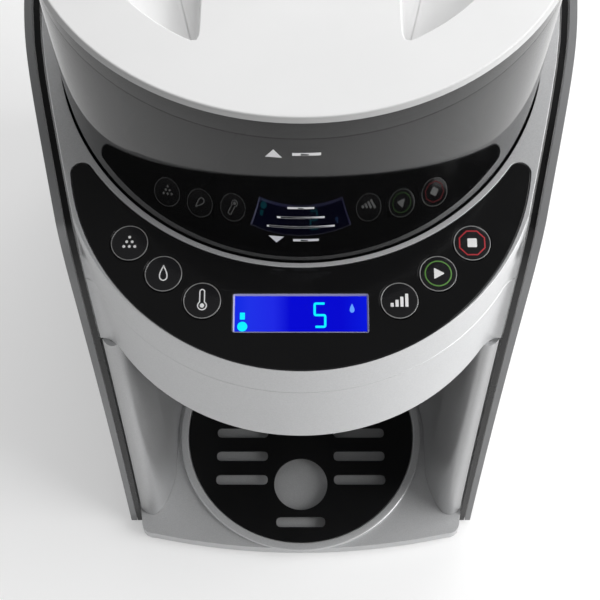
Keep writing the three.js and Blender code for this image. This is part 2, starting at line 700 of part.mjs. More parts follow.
function hopperTub() {
  const inner = hopper.radius - hopper.wall;
  const floor = hopperBottom + hopper.wall;
  return cut(
    turned([[0, hopperBottom], [hopper.radius, hopperBottom], [hopper.radius, hopperRim],
      [inner, hopperRim], [inner, floor], [0, floor]], 0, 0, facets.large),
    rod(hopper.shaftHole, hopperBottom - cutOverrun, floor + cutOverrun),
    rod(outlet.radius - outlet.wall, hopperBottom - cutOverrun, floor + cutOverrun, 0, outlet.y));
}

const wheelBottom = hopperBottom + hopper.wall + wheel.lift;
const wheelTop = wheelBottom + wheel.thickness;

function powderWheel() {
  let disc = solid(turned([[0, wheelBottom], [wheel.radius, wheelBottom], [wheel.radius, wheelTop],
    [wheel.hubRadius, wheelTop], [wheel.hubRadius, wheelBottom + wheel.hubHeight],
    [0, wheelBottom + wheel.hubHeight]], 0, 0, facets.medium));
  const half = shaft.square / 2 + clearance;
  disc = cut(disc, box(-half, half, -half, half, wheelBottom - cutOverrun,
    hopperBottom + hopper.wall / 2 + shaft.squareLength + clearance));
  for (let i = 0; i < wheel.pockets; i++) {
    const angle = (2 * Math.PI * (i + 0.5)) / wheel.pockets;
    disc = cut(disc, rod(wheel.pocketRadius, wheelBottom - cutOverrun / 2, wheelTop + cutOverrun / 2,
      outlet.y * Math.sin(angle), outlet.y * Math.cos(angle), facets.small));
  }
  return disc;
}

function powderGuard() {
  const bottom = wheelTop + guard.rise;
  const top = bottom + guard.thickness;
  const reach = hopper.radius - hopper.wall - clearance;
  return overlap(
    rod(reach, bottom, top, 0, 0, facets.large),
    box(-guard.halfWidth, guard.halfWidth, -hopper.radius, guard.innerY,
      bottom - clearance, top + clearance));
}

function stirrerArms() {
  const bottom = wheelTop + stirrer.lift;
  const top = bottom + stirrer.armHeight;
  const hubTop = wheelBottom + wheel.hubHeight;
  let body = cut(
    rod(stirrer.bossRadius, bottom, hubTop + wall, 0, 0, facets.small),
    rod(wheel.hubRadius + clearance, bottom - cutOverrun, hubTop + clearance, 0, 0, facets.medium));
  for (let i = 0; i < stirrer.arms; i++) {
    const start = stirrer.bossRadius - wall / 2;
    const middle = stirrer.reach * stirrer.bendShare;
    const half = stirrer.armWidth / 2;
    const arm = new THREE.Shape();
    arm.moveTo(start, -half);
    arm.quadraticCurveTo(middle, -half, stirrer.reach, stirrer.sweep - half);
    arm.lineTo(stirrer.reach - half, stirrer.sweep + half);
    arm.quadraticCurveTo(middle, half, start, half);
    body = join(body, prism(arm, bottom, top, 5).rotateZ((i * 2 * Math.PI) / stirrer.arms + Math.PI / 4));
  }
  return body;
}

// Lid: a flat cover with two scooped finger recesses beside a bar, and a skirt that holds the gasket

const lidSeat = hopperRim + clearance;
const lidTop = lidSeat + lid.height;

function hopperLid() {
  const wellBottom = lidTop - lid.recessDeep - lid.wellWall;
  const skirtBottom = lidSeat - lid.skirtDepth;
  const grooveTop = lidSeat - gasket.drop + clearance;
  const grooveBottom = grooveTop - gasket.height - 2 * clearance;
  const insideTop = lidSeat + lid.height / 2;
  const cover = turned(
    [[0, lidSeat], [lid.edgeRadius, lidSeat], [lid.topRadius, lidTop], [0, lidTop]], 0, 0, facets.large);
  const skirt = turned([
    [lid.skirtInner, skirtBottom], [lid.skirtOuter, skirtBottom], [lid.skirtOuter, grooveBottom],
    [gasket.innerRadius - clearance, grooveBottom], [gasket.innerRadius - clearance, grooveTop],
    [lid.skirtOuter, grooveTop], [lid.skirtOuter, insideTop], [lid.skirtInner, insideTop],
  ], 0, 0, facets.medium);
  const well = rod(lid.recessRadius + lid.wellWall, wellBottom, insideTop, 0, 0, facets.medium);
  const run = lid.recessRadius - lid.barHalfWidth;
  const slope = Math.atan2(lid.recessDeep - lid.recessShallow, run);
  let body = join(cover, skirt, well);
  for (const sign of [1, -1]) {
    const scoop = box(0, 2 * lid.recessRadius, -lid.recessRadius, lid.recessRadius, 0, lid.recessRadius)
      .rotateY(-slope)
      .translate(lid.barHalfWidth, 0, lidTop - lid.recessDeep);
    const segment = overlap(
      rod(lid.recessRadius, wellBottom, lidTop + cutOverrun, 0, 0, facets.medium),
      box(lid.barHalfWidth, lid.edgeRadius, -lid.edgeRadius, lid.edgeRadius,
        wellBottom, lidTop + cutOverrun));
    const recess = overlap(segment, scoop);
    body = cut(body, sign > 0 ? recess : mirrored(geometryOf(recess)));
  }
  const barInside = lid.barHalfWidth - lid.wellWall;
  return cut(body, overlap(
    rod(lid.recessRadius - lid.wellWall, wellBottom - cutOverrun, lidSeat, 0, 0, facets.medium),
    box(-barInside, barInside, -lid.recessRadius, lid.recessRadius, wellBottom - cutOverrun, lidSeat)));
}

function lidGasket() {
  const top = lidSeat - gasket.drop;
  const bottom = top - gasket.height;
  return turned([[gasket.innerRadius, bottom], [gasket.outerRadius, bottom], [gasket.outerRadius, top],
    [gasket.innerRadius, top]], 0, 0, facets.medium);
}

// Drip tray and its grate

const trayTop = base.top + clearance + tray.ringHeight;
const ledge = trayTop - tray.ledgeDrop;

function bottleTray() {
  const seat = base.top + clearance;
  const bottom = base.top - tray.tubDepth;
  return turned([[0, bottom], [tray.tubRadius, bottom], [tray.tubRadius, seat], [tray.ringRadius, seat],
    [tray.ringRadius, trayTop], [tray.seatRadius, trayTop], [tray.seatRadius, ledge],
    [tray.tubRadius - tray.wall, ledge], [tray.tubRadius - tray.wall, bottom + tray.wall],
    [0, bottom + tray.wall]], 0, bay.centreY, facets.large);
}

function dripGrate() {
  const bottom = ledge + clearance;
  const top = bottom + grate.thickness;
  const slots = [];
  const half = grate.slotRise / 2;
  const corner = half * grate.slotCornerShare;
  const slot = (x0, x1, y) => prism(roundedRectangle(x0, x1, y - half, y + half, corner),
    bottom - cutOverrun / 2, top + cutOverrun / 2, 2);
  for (let row = 0; row < grate.slotRows; row++) {
    const y = bay.centreY + (row - (grate.slotRows - 1) / 2) * grate.slotPitch;
    slots.push(slot(grate.slotStart, grate.slotEnd, y), slot(-grate.slotEnd, -grate.slotStart, y));
  }
  slots.push(slot(-grate.frontSlotHalf, grate.frontSlotHalf, grate.frontSlotY));
  return cut(
    rod(grate.radius, bottom, top, 0, bay.centreY, facets.large),
    rod(grate.fingerRadius, bottom - cutOverrun, top + cutOverrun, 0, grate.fingerY, facets.small),
    ...slots);
}

// Funnel drawer

function drawerRails() {
  const top = headBottom - clearance;
  const outer = rail.inner + rail.lip + rail.wall;
  const side = (sign) => {
    const span = (x0, x1, z0, z1) => box(Math.min(sign * x0, sign * x1), Math.max(sign * x0, sign * x1),
      rail.front, rail.back, z0, z1);
    return join(
      span(rail.inner, rail.inner + rail.lip + clearance, railBottom, railBottom + rail.lipThickness),
      span(outer - rail.wall, outer, railBottom, top));
  };
  return join(side(1), side(-1), box(-outer, outer, rail.back - rail.wall, rail.back, railBottom, top));
}

const drawerBottom = railBottom + rail.lipThickness + clearance;
const drawerTop = drawerBottom + drawer.thickness;

function funnelDrawer() {
  const half = rail.inner + rail.lip - clearance;
  const front = rail.front - clearance - drawer.frontThickness;
  return cut(
    join(
      box(-half, half, front + drawer.frontThickness / 2, rail.back - 2 * rail.lip, drawerBottom, drawerTop),
      box(-drawer.frontHalf, drawer.frontHalf, front, front + drawer.frontThickness,
        drawerBottom - drawer.frontDrop, drawerTop + drawer.frontRise)),
    rod(drawer.holeRadius, drawerBottom - cutOverrun, drawerTop + cutOverrun, 0, bay.centreY, facets.medium));
}

function funnelCone() {
  const seat = drawerTop + clearance;
  const rim = seat + funnel.rimHeight;
  const flangeTop = seat + funnel.wall;
  const throat = seat - funnel.coneDepth;
  const end = throat - funnel.throatDepth;
  const coneTop = drawer.holeRadius - 2 * clearance;
  return turned([[funnel.throatRadius, end], [funnel.throatRadius, throat], [coneTop, seat],
    [funnel.flangeRadius, seat], [funnel.flangeRadius, flangeTop], [funnel.rimRadius, flangeTop],
    [funnel.rimRadius, rim], [funnel.rimRadius - funnel.wall, rim],
    [funnel.rimRadius - funnel.wall, flangeTop],
    [coneTop - funnel.wall, seat + funnel.wall / 2],
    [funnel.throatRadius - funnel.wall, throat + funnel.wall / 2], [funnel.throatRadius - funnel.wall, end],
  ], 0, bay.centreY, facets.medium);
}

function waterNozzle() {
  const floorTop = headBottom + head.floorThickness + clearance;
  const [z0, z1] = [headBottom, headBottom + nozzle.rise];
  const { x, y } = nozzle;
  return cut(
    join(rod(nozzle.radius, z0, z1, x, y, facets.small),
      rod(nozzle.flangeRadius, floorTop, floorTop + nozzle.flangeThickness, x, y, facets.small)),
    rod(nozzle.bore, z0 - cutOverrun, z1 + cutOverrun, x, y, facets.tiny));
}

// Rear housing and water tank

function rearPrism(inset, front, back, z0, z1) {
  const radius = base.rearRadius - inset;
  const half = [[0, front]];
  const steps = 4;
  for (let i = 0; i <= steps; i++) {
    const y = lerp(front, back - radius, i / steps);
    half.push([halfWidthAt(y, 0, bodyInset + inset), y]);
  }
  half.push(...rearCorner(half[half.length - 1], radius));
  return loft([bothSides(half, z0), bothSides(half, z1)]);
}

function rearCover() {
  const front = head.back + clearance;
  const bottom = base.top + clearance;
  const top = deckHeightAt(head.back);
  const back = machine.back;
  return cut(
    rearPrism(0, front, back, bottom, top),
    rearPrism(-cutOverrun, tank.front - clearance, back + cutOverrun, tank.floor, top + cutOverrun),
    rearPrism(wall, front - cutOverrun, back - wall, bottom - cutOverrun, tank.floor - wall),
    rod(tankDock.radius + clearance, tank.floor - cutOverrun, tank.floor + cutOverrun, valve.x, valve.y),
    box(inlet.x - inlet.halfX - clearance, inlet.x + inlet.halfX + clearance,
      back - cutOverrun, back + cutOverrun,
      inlet.z - inlet.halfZ - clearance, inlet.z + inlet.halfZ + clearance),
    box(powerSwitch.x - powerSwitch.halfX - clearance, powerSwitch.x + powerSwitch.halfX + clearance,
      back - cutOverrun, back + cutOverrun,
      powerSwitch.z - powerSwitch.halfZ - clearance, powerSwitch.z + powerSwitch.halfZ + clearance));
}

const tankBottom = tank.floor + clearance;
const tankRim = tankBottom + tank.height;
const hingeZ = tankRim + clearance + tank.hingeRadius;

function waterTank() {
  const outline = (inset) => roundedRectangle(-tank.halfWidth + inset, tank.halfWidth - inset,
    tank.front + inset, tank.back - inset, tank.corner - inset);
  let body = cut(
    prism(outline(0), tankBottom, tankRim, facets.corner),
    prism(outline(tank.wall), tankBottom + tank.wall, tankRim + cutOverrun, facets.corner),
    rod(valve.holeRadius, tankBottom - cutOverrun, tankBottom + cutOverrun, valve.x, valve.y));
  for (const sign of [1, -1]) {
    const x = sign * (tank.earInner + tank.earThickness / 2);
    body = join(body, box(x - tank.earThickness / 2, x + tank.earThickness / 2,
      tank.hingeY - tank.hingeRadius, tank.back, tankRim - tank.wall, hingeZ + tank.hingeRadius));
  }
  return cut(body, rodAlongX(tank.pinHole, -tank.halfWidth, tank.halfWidth, tank.hingeY, hingeZ));
}

function tankLid() {
  const bottom = tankRim + clearance;
  const barrelHalf = tank.earInner - clearance;
  const notch = tank.earInner + tank.earThickness + clearance;
  const rearEdge = tank.hingeY - tank.pinHole;
  const notchFront = tank.hingeY - 2 * tank.hingeRadius;
  const cover = cut(
    prism(roundedRectangle(-tank.halfWidth, tank.halfWidth, tank.front, tank.back, tank.corner),
      bottom, bottom + tank.lidThickness, facets.corner),
    box(-tank.halfWidth - cutOverrun, tank.halfWidth + cutOverrun, rearEdge, tank.back + cutOverrun,
      bottom - cutOverrun, bottom + cutOverrun),
    box(barrelHalf, notch, notchFront, tank.back, bottom - cutOverrun, bottom + cutOverrun),
    box(-notch, -barrelHalf, notchFront, tank.back, bottom - cutOverrun, bottom + cutOverrun));
  return cut(
    join(cover, rodAlongX(tank.hingeRadius, -barrelHalf, barrelHalf, tank.hingeY, hingeZ)),
    rodAlongX(tank.pinHole, -tank.halfWidth, tank.halfWidth, tank.hingeY, hingeZ));
}

function tankHingePin() {
  const half = tank.earInner + tank.earThickness;
  return rodAlongX(tank.pinRadius, -half, half, tank.hingeY, hingeZ);
}

function tankValve() {
  const seat = tankBottom + tank.wall + clearance;
  const { x, y } = valve;
  return join(
    rod(valve.headRadius, seat, seat + valve.headHeight, x, y, facets.small),
    rod(valve.stemRadius, tankBottom - clearance, seat + valve.headHeight / 2, x, y, facets.tiny));
}

function tankSeat() {
  const top = tankBottom - 2 * clearance;
  const bottom = top - tankDock.length;
  const flangeTop = tank.floor - wall - clearance;
  return cut(
    join(
      rod(tankDock.radius, bottom, top, valve.x, valve.y),
      rod(tankDock.flangeRadius, flangeTop - tankDock.flangeThickness, flangeTop, valve.x, valve.y),
      rod(hose.nippleRadius, bottom - hose.nippleLength, bottom + wall, valve.x, valve.y, facets.tiny)),
    rod(tankDock.bore, top - tankDock.boreDepth, top + cutOverrun, valve.x, valve.y));
}

const pumpTop = base.top + clearance + pump.height;

function waterPump() {
  const z = base.top + pump.outletHeight;
  return join(
    rod(pump.radius, base.top + clearance, pumpTop, valve.x, valve.y, facets.small),
    rod(hose.nippleRadius, pumpTop - wall, pumpTop + hose.nippleLength, valve.x, valve.y, facets.tiny),
    rodAlongX(hose.nippleRadius, valve.x, valve.x + pump.radius + hose.nippleLength, valve.y, z));
}

const heaterTop = base.top + clearance + heater.height;

function heaterBlock() {
  const z = base.top + pump.outletHeight;
  return join(
    box(heater.x - heater.halfX, heater.x + heater.halfX, heater.y - heater.halfY, heater.y + heater.halfY,
      base.top + clearance, heaterTop),
    rodAlongX(hose.nippleRadius, heater.x - heater.halfX - hose.nippleLength, heater.x, heater.y, z),
    rod(hose.nippleRadius, heaterTop - wall, heaterTop + hose.nippleLength, heater.x, heater.y, facets.tiny));
}

function inletHose() {
  const top = tankBottom - 2 * clearance - tankDock.length - hose.nippleLength - clearance;
  return rod(hose.radius, pumpTop + hose.nippleLength + clearance, top, valve.x, valve.y, facets.tiny);
}

function pumpHose() {
  const z = base.top + pump.outletHeight;
  return rodAlongX(hose.radius, valve.x + pump.radius + hose.nippleLength + clearance,
    heater.x - heater.halfX - hose.nippleLength - clearance, heater.y, z, facets.tiny);
}

// The hot hose rises behind the bay and runs over the head's floor to the nozzle.
function heaterHose() {
  const start = heaterTop + hose.nippleLength + clearance;
  const end = headBottom + nozzle.rise + clearance;
  const step = hose.radius;
  return tube([
    [heater.x, heater.y, start],
    [heater.x, heater.y, start + 1.5 * step],
    [heater.x + step, heater.y - 2.5 * step, start + 3.5 * step],
    [riser.x - 1.5 * step, heater.y - 11 * step, start + 4.25 * step],
    [riser.x, riser.y, start + 11 * step],
    [riser.x, riser.y, headBottom - 5 * step],
    [riser.x, riser.y - 1.5 * step, headBottom + 4.5 * step],
    [riser.x - step / 2, riser.y - 12.5 * step, headBottom + 6.5 * step],
    [nozzle.x + 5 * step, nozzle.y + 9.5 * step, headBottom + 6.5 * step],
    [nozzle.x + 2 * step, nozzle.y + 3.5 * step, end + 3 * step],
    [nozzle.x, nozzle.y, end + 1.5 * step],
    [nozzle.x, nozzle.y, end],
  ], hose.radius, hose.steps, hose.sides);
}

function mainCircuitBoard() {
  const bottom = base.top + clearance;
  const top = bottom + mainBoard.height;
  const back = mainBoard.y + mainBoard.thickness;
  const boardWidth = mainBoard.right - mainBoard.left;
  const blocks = blockShares.map(({ x, z, width, height, depth }) => {
    const left = mainBoard.left + x * boardWidth;
    const low = bottom + z * mainBoard.height;
    return box(left, left + width * boardWidth, back - mainBoard.thickness / 2,
      back + depth * mainBoard.thickness, low, low + height * mainBoard.height);
  });
  return join(box(mainBoard.left, mainBoard.right, mainBoard.y, back, bottom, top), ...blocks);
}

function wireHarness() {
  const top = base.top + clearance + mainBoard.height + clearance;
  const underBoard = -(board.drop + board.thickness + clearance);
  const plugPoint = (drop) => new THREE.Vector3(harness.plugX, harness.plugS, underBoard - drop)
    .applyMatrix4(deckMatrix).toArray();
  const { x, y } = harnessRiser;
  const { bend } = harness;
  return tube([
    [x, mainBoard.y, top],
    [x, mainBoard.y - bend, top + 12.5 * bend],
    [x, y, headBottom - 3 * bend],
    [x - bend, y - 2 * bend, headBottom + 5 * bend],
    [x - 6.5 * bend, y - 12.5 * bend, headBottom + 7 * bend],
    [x - 6.5 * bend, y - 30 * bend, headBottom + 7.5 * bend],
    [x - 2.5 * bend, y - 43.5 * bend, headBottom + 9 * bend],
    plugPoint(3 * bend),
    plugPoint(bend),
    plugPoint(0),
  ], harness.radius, harness.steps, harness.sides);
}

function powerInlet() {
  const back = machine.back - clearance;
  const innerWall = machine.back - wall - clearance;
  const around = (halfX, halfZ, y0, y1) => box(
    inlet.x - halfX, inlet.x + halfX, y0, y1, inlet.z - halfZ, inlet.z + halfZ);
  const socketFloor = back - inlet.socketDepth;
  const body = cut(
    join(
      around(inlet.halfX, inlet.halfZ, back - inlet.depth, back),
      around(inlet.halfX + inlet.flange, inlet.halfZ + inlet.flange,
        innerWall - inlet.flangeThickness, innerWall)),
    around(inlet.halfX - inlet.socketInset, inlet.halfZ - inlet.socketInset, socketFloor, back + cutOverrun));
  const pin = (x, z) => box(inlet.x + x - inlet.pinHalf, inlet.x + x + inlet.pinHalf,
    socketFloor - wall, socketFloor + inlet.pinLength,
    inlet.z + z - 2 * inlet.pinHalf, inlet.z + z + 2 * inlet.pinHalf);
  return join(body,
    pin(-inlet.pinSpread, -inlet.pinDrop), pin(0, inlet.pinDrop), pin(inlet.pinSpread, -inlet.pinDrop));
}

function switchBody() {
  const back = machine.back - clearance;
  const innerWall = machine.back - wall - clearance;
  const around = (halfX, halfZ, y0, y1) => box(powerSwitch.x - halfX, powerSwitch.x + halfX, y0, y1,
    powerSwitch.z - halfZ, powerSwitch.z + halfZ);
  return cut(
    join(
      around(powerSwitch.halfX, powerSwitch.halfZ, back - powerSwitch.depth, back),
      around(powerSwitch.halfX + powerSwitch.flange, powerSwitch.halfZ + powerSwitch.flange,
        innerWall - powerSwitch.flangeThickness, innerWall)),
    around(powerSwitch.rockerHalfX + clearance, powerSwitch.recessHalfZ,
      back - powerSwitch.recessDepth, back + cutOverrun));
}

function powerRocker() {
  const back = machine.back - clearance;
  return box(powerSwitch.x - powerSwitch.rockerHalfX, powerSwitch.x + powerSwitch.rockerHalfX,
    back - powerSwitch.rockerThickness, back,
    powerSwitch.z - powerSwitch.rockerHalfZ, powerSwitch.z + powerSwitch.rockerHalfZ);
}

// Assembly

const formulaMaker = new THREE.Group();
const plan = new THREE.Group();
plan.position.y = -(machine.front + machine.back) / 2;
formulaMaker.add(plan);

function add(name, source, look) {
  const geometry = (source.isBufferGeometry ? closed(source) : geometryOf(source));
  geometry.computeVertexNormals();
  const mesh = new THREE.Mesh(geometry, new THREE.MeshStandardMaterial({ ...look, flatShading: true }));
  mesh.name = name;
  plan.add(mesh);
}

add('base_shell', baseShell(), silver);
add('bottom_plate', bottomPlate(), darkPlastic);
for (const [name, place] of Object.entries(screwPlaces)) add(name, baseScrew(place), steel);
for (const [name, place] of Object.entries(footPlaces)) add(name, rubberFoot(place), rubber);
add('side_panel_right', sidePanel(), grey);
add('side_panel_left', mirrored(sidePanel()), grey);
add('trim_strip_right', trimStrip(), black);
add('trim_strip_left', mirrored(geometryOf(trimStrip())), black);
add('bay_liner', bayLiner(), silver);
add('head_shell', headShell(), silver);
add('head_floor', headFloor(), darkPlastic);
add('top_collar', topCollar(), silver);
add('control_panel', controlPanel(), black);
add('display_window', displayWindow(), screenBlue);
add('display_module', displayModule(), steel);
add('panel_circuit_board', panelBoard(), boardGreen);
add('key_membrane', keyMembrane(), siliconeRubber);
for (const { name, x, s } of buttonSpots) add(name, pushButton(x, s), black);
add('hopper_dock', hopperDock(), darkPlastic);
add('powder_motor', powderMotor(), steel);
add('drive_shaft', driveShaft(), steel);
add('powder_chute', powderChute(), white);
add('hopper', hopperTub(), smoked);
add('powder_wheel', powderWheel(), white);
add('powder_guard', powderGuard(), white);
add('stirrer', stirrerArms(), white);
add('hopper_lid', hopperLid(), white);
add('lid_gasket', lidGasket(), siliconeRubber);
add('bottle_tray', bottleTray(), silver);
add('drip_grate', dripGrate(), black);
add('drawer_rails', drawerRails(), darkPlastic);
add('funnel_drawer', funnelDrawer(), darkPlastic);
add('funnel', funnelCone(), clearPlastic);
add('water_nozzle', waterNozzle(), steel);
add('rear_cover', rearCover(), silver);
add('water_tank', waterTank(), clearPlastic);
add('tank_lid', tankLid(), darkPlastic);
add('tank_hinge_pin', tankHingePin(), steel);
add('tank_valve', tankValve(), siliconeRubber);
add('tank_dock', tankSeat(), darkPlastic);
add('water_pump', waterPump(), darkPlastic);
add('heater', heaterBlock(), steel);
add('inlet_hose', inletHose(), siliconeRubber);
add('pump_hose', pumpHose(), siliconeRubber);
add('heater_hose', heaterHose(), siliconeRubber);
add('main_circuit_board', mainCircuitBoard(), boardGreen);
add('wire_harness', wireHarness(), rubber);
add('power_inlet', powerInlet(), darkPlastic);
add('power_switch', switchBody(), darkPlastic);
add('power_rocker', powerRocker(), black);

export default formulaMaker;
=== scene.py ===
"""Looks of a baby formula maker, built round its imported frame.

Lengths are in millimetres while a piece is made, on the plan whose middle is the hopper's axis, and
to_frame() turns them into the frame's metres. New pieces are surfaces worked out on grids, and a piece whose
form the solid already has is the solid's own mesh with eased edges.
"""
import json
import math

import bmesh
import bpy
import numpy as np
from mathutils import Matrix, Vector
from mathutils.geometry import tessellate_polygon


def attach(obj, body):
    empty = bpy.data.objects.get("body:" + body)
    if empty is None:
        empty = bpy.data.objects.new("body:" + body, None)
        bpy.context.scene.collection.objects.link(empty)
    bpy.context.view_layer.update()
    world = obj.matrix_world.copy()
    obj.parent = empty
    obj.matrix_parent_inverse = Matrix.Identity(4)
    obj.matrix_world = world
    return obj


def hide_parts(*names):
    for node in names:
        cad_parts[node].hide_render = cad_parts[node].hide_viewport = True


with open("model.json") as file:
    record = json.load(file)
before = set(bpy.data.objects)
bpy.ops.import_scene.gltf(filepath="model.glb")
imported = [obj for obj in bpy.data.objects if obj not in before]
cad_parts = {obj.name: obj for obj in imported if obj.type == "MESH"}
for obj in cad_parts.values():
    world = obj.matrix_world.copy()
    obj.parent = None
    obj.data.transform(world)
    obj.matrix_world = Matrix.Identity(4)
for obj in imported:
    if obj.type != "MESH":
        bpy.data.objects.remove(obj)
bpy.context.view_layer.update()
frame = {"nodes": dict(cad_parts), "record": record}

# Units
MILLIMETRE = 0.001
PLAN_SHIFT = -18.0
FULL_TURN = 2 * math.pi
UNIT = (0.0, 1.0)

# How fine the meshes are: distances in metres under which points are one, angles, and numbers of points
MERGE = 2e-7
SOLID_MERGE = 1e-6
FLAT_ANGLE = math.radians(0.6)
SHARP_ANGLE = math.radians(38)
REFINED_ANGLE = math.radians(40)
SIDE_ANGLE = math.radians(50)
ROUND = 160
MIDDLE_ROUND = 96
SMALL_ROUND = 48
DOT_ROUND = 16
EASE_STEPS = 4
STEPS = {
    "head_nose": 44, "head_cheek": 10, "head_side": 14, "head_rounds": 6, "crescent_long": 90,
    "crescent_tip": 12, "hopper_bead": 9, "hopper_foot": 6, "hopper_wall": 12, "lid_ease": 6, "scoop_arc": 72,
    "scoop_bar": 42, "scoop_passes": 2, "scoop_fillet": 6, "bar": 10, "shoulder": 11, "chin_ease": 5,
    "dome": 12, "drop": 40, "bulb": 24, "stem_cap": 9, "core": 20, "screen_bulb": 32, "stroke_corner": 6,
    "side_length": 60, "side_lower": 24, "side_corner": 17, "bay_back": 40, "pillar": 20, "bay_rows": 14,
    "slot_corner": 6, "start_ring": 3, "refined": 3,
}

# The machine's own sizes in millimetres: its solids' sizes, and the eases and fine edges that they leave out
CLEARANCE = 0.3
WALL = 2.6
BODY_INSET = 6.8
DECK = {"height": 301.4, "tilt": math.radians(8.8), "thickness": 3.4, "ease": 0.2}
SIDE = {
    "half": 121.5, "blend": 25.0, "floor_share": 0.153, "deck_share": 0.252, "front_floor": -125.0,
    "front_deck": -96.0, "corner_run": 10.0, "corner_share": 0.9, "thickness": 3.4, "back": 176.0,
    "rim_rise": 1.2, "bottom": 2.8, "ease": 1.1,
}
HEAD = {
    "front": -148.6, "bottom": 208.2, "seam": 258.0, "back": 111.0, "chin": 101.5, "deck": 99.6,
    "shoulder": 0.8, "shoulder_drop": 9.0, "rim": 0.25, "seam_ease": 0.15, "chin_ease": 1.2,
    "inner_ease": 0.3,
}
CHEEK = {"setback": 3.0, "blend": 6.0}
BAY = {
    "y": -73.3, "radius": 75.5, "wall": 2.4, "bottom": 12.3, "top": 207.9, "cap": 0.5, "cap_rise": 0.1,
    "cap_ease": 0.05,
}
PILLAR = {"setback": 3.0, "shoulder": 7.0, "bulge": 10.0, "depth": 24.0}
HOPPER = {
    "radius": 103.0, "wall": 2.4, "bottom": 262.0, "rim": 381.2, "hole": 103.6, "shaft_hole": 9.0,
    "outlet": 10.0, "foot": 2.0, "hole_ease": 1.1 / 3, "line": 371.0, "line_half": 0.25, "line_depth": 0.15,
}
# The lid's last two sizes bound the band of radii where painted shade greys the lid's rim.
LID = {
    "seat": 381.5, "top": 383.8, "edge": 104.3, "edge_ease": 0.4, "top_edge": 103.45, "top_ease": 0.9,
    "well": 82.5, "well_bottom": 369.6, "well_ease": 2.0, "skirt_inner": 96.4, "skirt_outer": 99.4,
    "skirt_bottom": 372.0, "groove_inner": 98.1, "groove_low": 374.1, "groove_high": 377.2,
    "painted_shade_start": 102.8, "painted_shade_end": 103.3,
}
SCOOP = {
    "recess": 80.3, "bar": 35.0, "deep": 12.0, "shallow": 1.5, "edge": 0.6, "fillet": 2.4,
    "fillet_share": 0.4, "wall_shares": (0.33, 0.66), "floor_shares": (0.3, 0.7, 1.0),
}
PANEL = {"inner": 107.0, "outer": 95.45, "outer_s": -53.95, "tip": 4.4, "thickness": 1.8, "ease": 0.3}
BUTTON = {
    "radius": 7.6, "hole": 8.0, "flange": 8.5, "dome": 0.5, "dome_share": 0.94, "fall_share": 0.55,
    "lip": 0.12, "lip_top": 0.06, "lip_low": -0.14, "stem": 2.2, "flange_top": -2.1, "flange_low": -3.1,
    "stem_low": -4.9, "ring_outer": 7.5, "ring_inner": 7.15, "ring_low": 0.02, "ring_top": 0.28,
    "ring_ease": 0.05,
}
DISPLAY = {
    "half": 27.1, "near": -134.1, "far": -117.7, "corner": 0.9, "recess": 1.1, "bevel": 0.7,
    "lip_low": 0.25, "lip_in": 0.15, "lip_top": 0.1, "screen_drop": 0.15, "screen_gap": 0.3,
    "screen_corner": 0.8, "screen_ease": 0.05,
}
TRAY = {
    "ring": 73.5, "seat": 69.0, "tub": 66.0, "ring_low": 12.3, "ring_top": 14.6, "ledge": 12.9,
    "bottom": 6.2, "wall": 1.4, "eases": (0.0, 1.2, 0.3, 0.4, 0.9, 0.6, 0.2, 0.2, 0.8, 0.0),
}
GRATE = {
    "radius": 68.5, "low": 13.2, "high": 14.2, "finger": 16.0, "finger_y": -106.0, "slot_half": 3.0,
    "corner_share": 0.96, "pitch": 15.0, "start": 20.0, "end": 51.0, "front_y": -129.5,
    "front_half": 14.5, "rows": 5, "ease": 0.3,
}

# Each button's body, and its place as a distance and an angle in degrees about the hopper
BUTTONS = {
    "button_dose": ("dose_key", 118.6, -35.7),
    "button_water": ("water_key", 122.5, -26.7),
    "button_heat": ("heat_key", 127.0, -18.0),
    "button_amount": ("amount_key", 127.0, 18.0),
    "button_start": ("start_key", 122.5, 26.7),
    "button_stop": ("stop_key", 118.6, 35.7),
}

# Prints: how far their lower and upper faces lie above what carries them, and their edges' ease
HOPPER_PRINT = (0.02, 0.1, 0.03)
BUTTON_PRINT = (0.01, 0.07, 0.02)
SCREEN_PRINT = (0.01, 0.06, 0.02)


def to_frame(points):
    """Plan millimetres to the frame's metres: y moves by the plan's shift, then all is scaled."""
    return (np.asarray(points, float) + [0.0, PLAN_SHIFT, 0.0]) * MILLIMETRE


# Shapes of outlines and profiles

def circle(radius, x=0.0, y=0.0, count=ROUND):
    """Points (x + r cos a, y + r sin a), with a in equal steps of a turn."""
    angle = np.linspace(0.0, FULL_TURN, count, endpoint=False)
    return np.column_stack([x + radius * np.cos(angle), y + radius * np.sin(angle)])


def parabola(t, start, corner, end):
    """(1-t)^2 A + 2t(1-t) P + t^2 B, which leaves A towards P and reaches B from P."""
    return (1 - t) ** 2 * start + 2 * t * (1 - t) * corner + t ** 2 * end


def eased(corners, reach, steps=EASE_STEPS):
    """A closed outline whose corners become parabolas that start a reach away from them."""
    corners = np.asarray(corners, float)
    before = np.roll(corners, 1, axis=0) - corners
    after = np.roll(corners, -1, axis=0) - corners
    reach = np.broadcast_to(np.asarray(reach, float), len(corners))
    run_before = np.linalg.norm(before, axis=1)
    run_after = np.linalg.norm(after, axis=1)
    limit = np.minimum(run_before, run_after) / 2
    length = np.minimum(reach, limit)
    start = corners + before * (length / run_before)[:, None]
    end = corners + after * (length / run_after)[:, None]
    t = np.linspace(0.0, 1.0, steps + 1)[:, None, None]
    points = parabola(t, start, corners, end).transpose(1, 0, 2).reshape(-1, 2)
    step = np.linalg.norm(points - np.roll(points, 1, axis=0), axis=1)
    return points[step > MERGE / MILLIMETRE]


def counterclockwise(outline):
    """The outline, reversed if its signed area, half the sum of x dy - y dx, is negative."""
    x, y = outline[:, 0], outline[:, 1]
    area = np.sum(x * np.roll(y, -1) - y * np.roll(x, -1)) / 2
    return outline if area > 0 else outline[::-1]


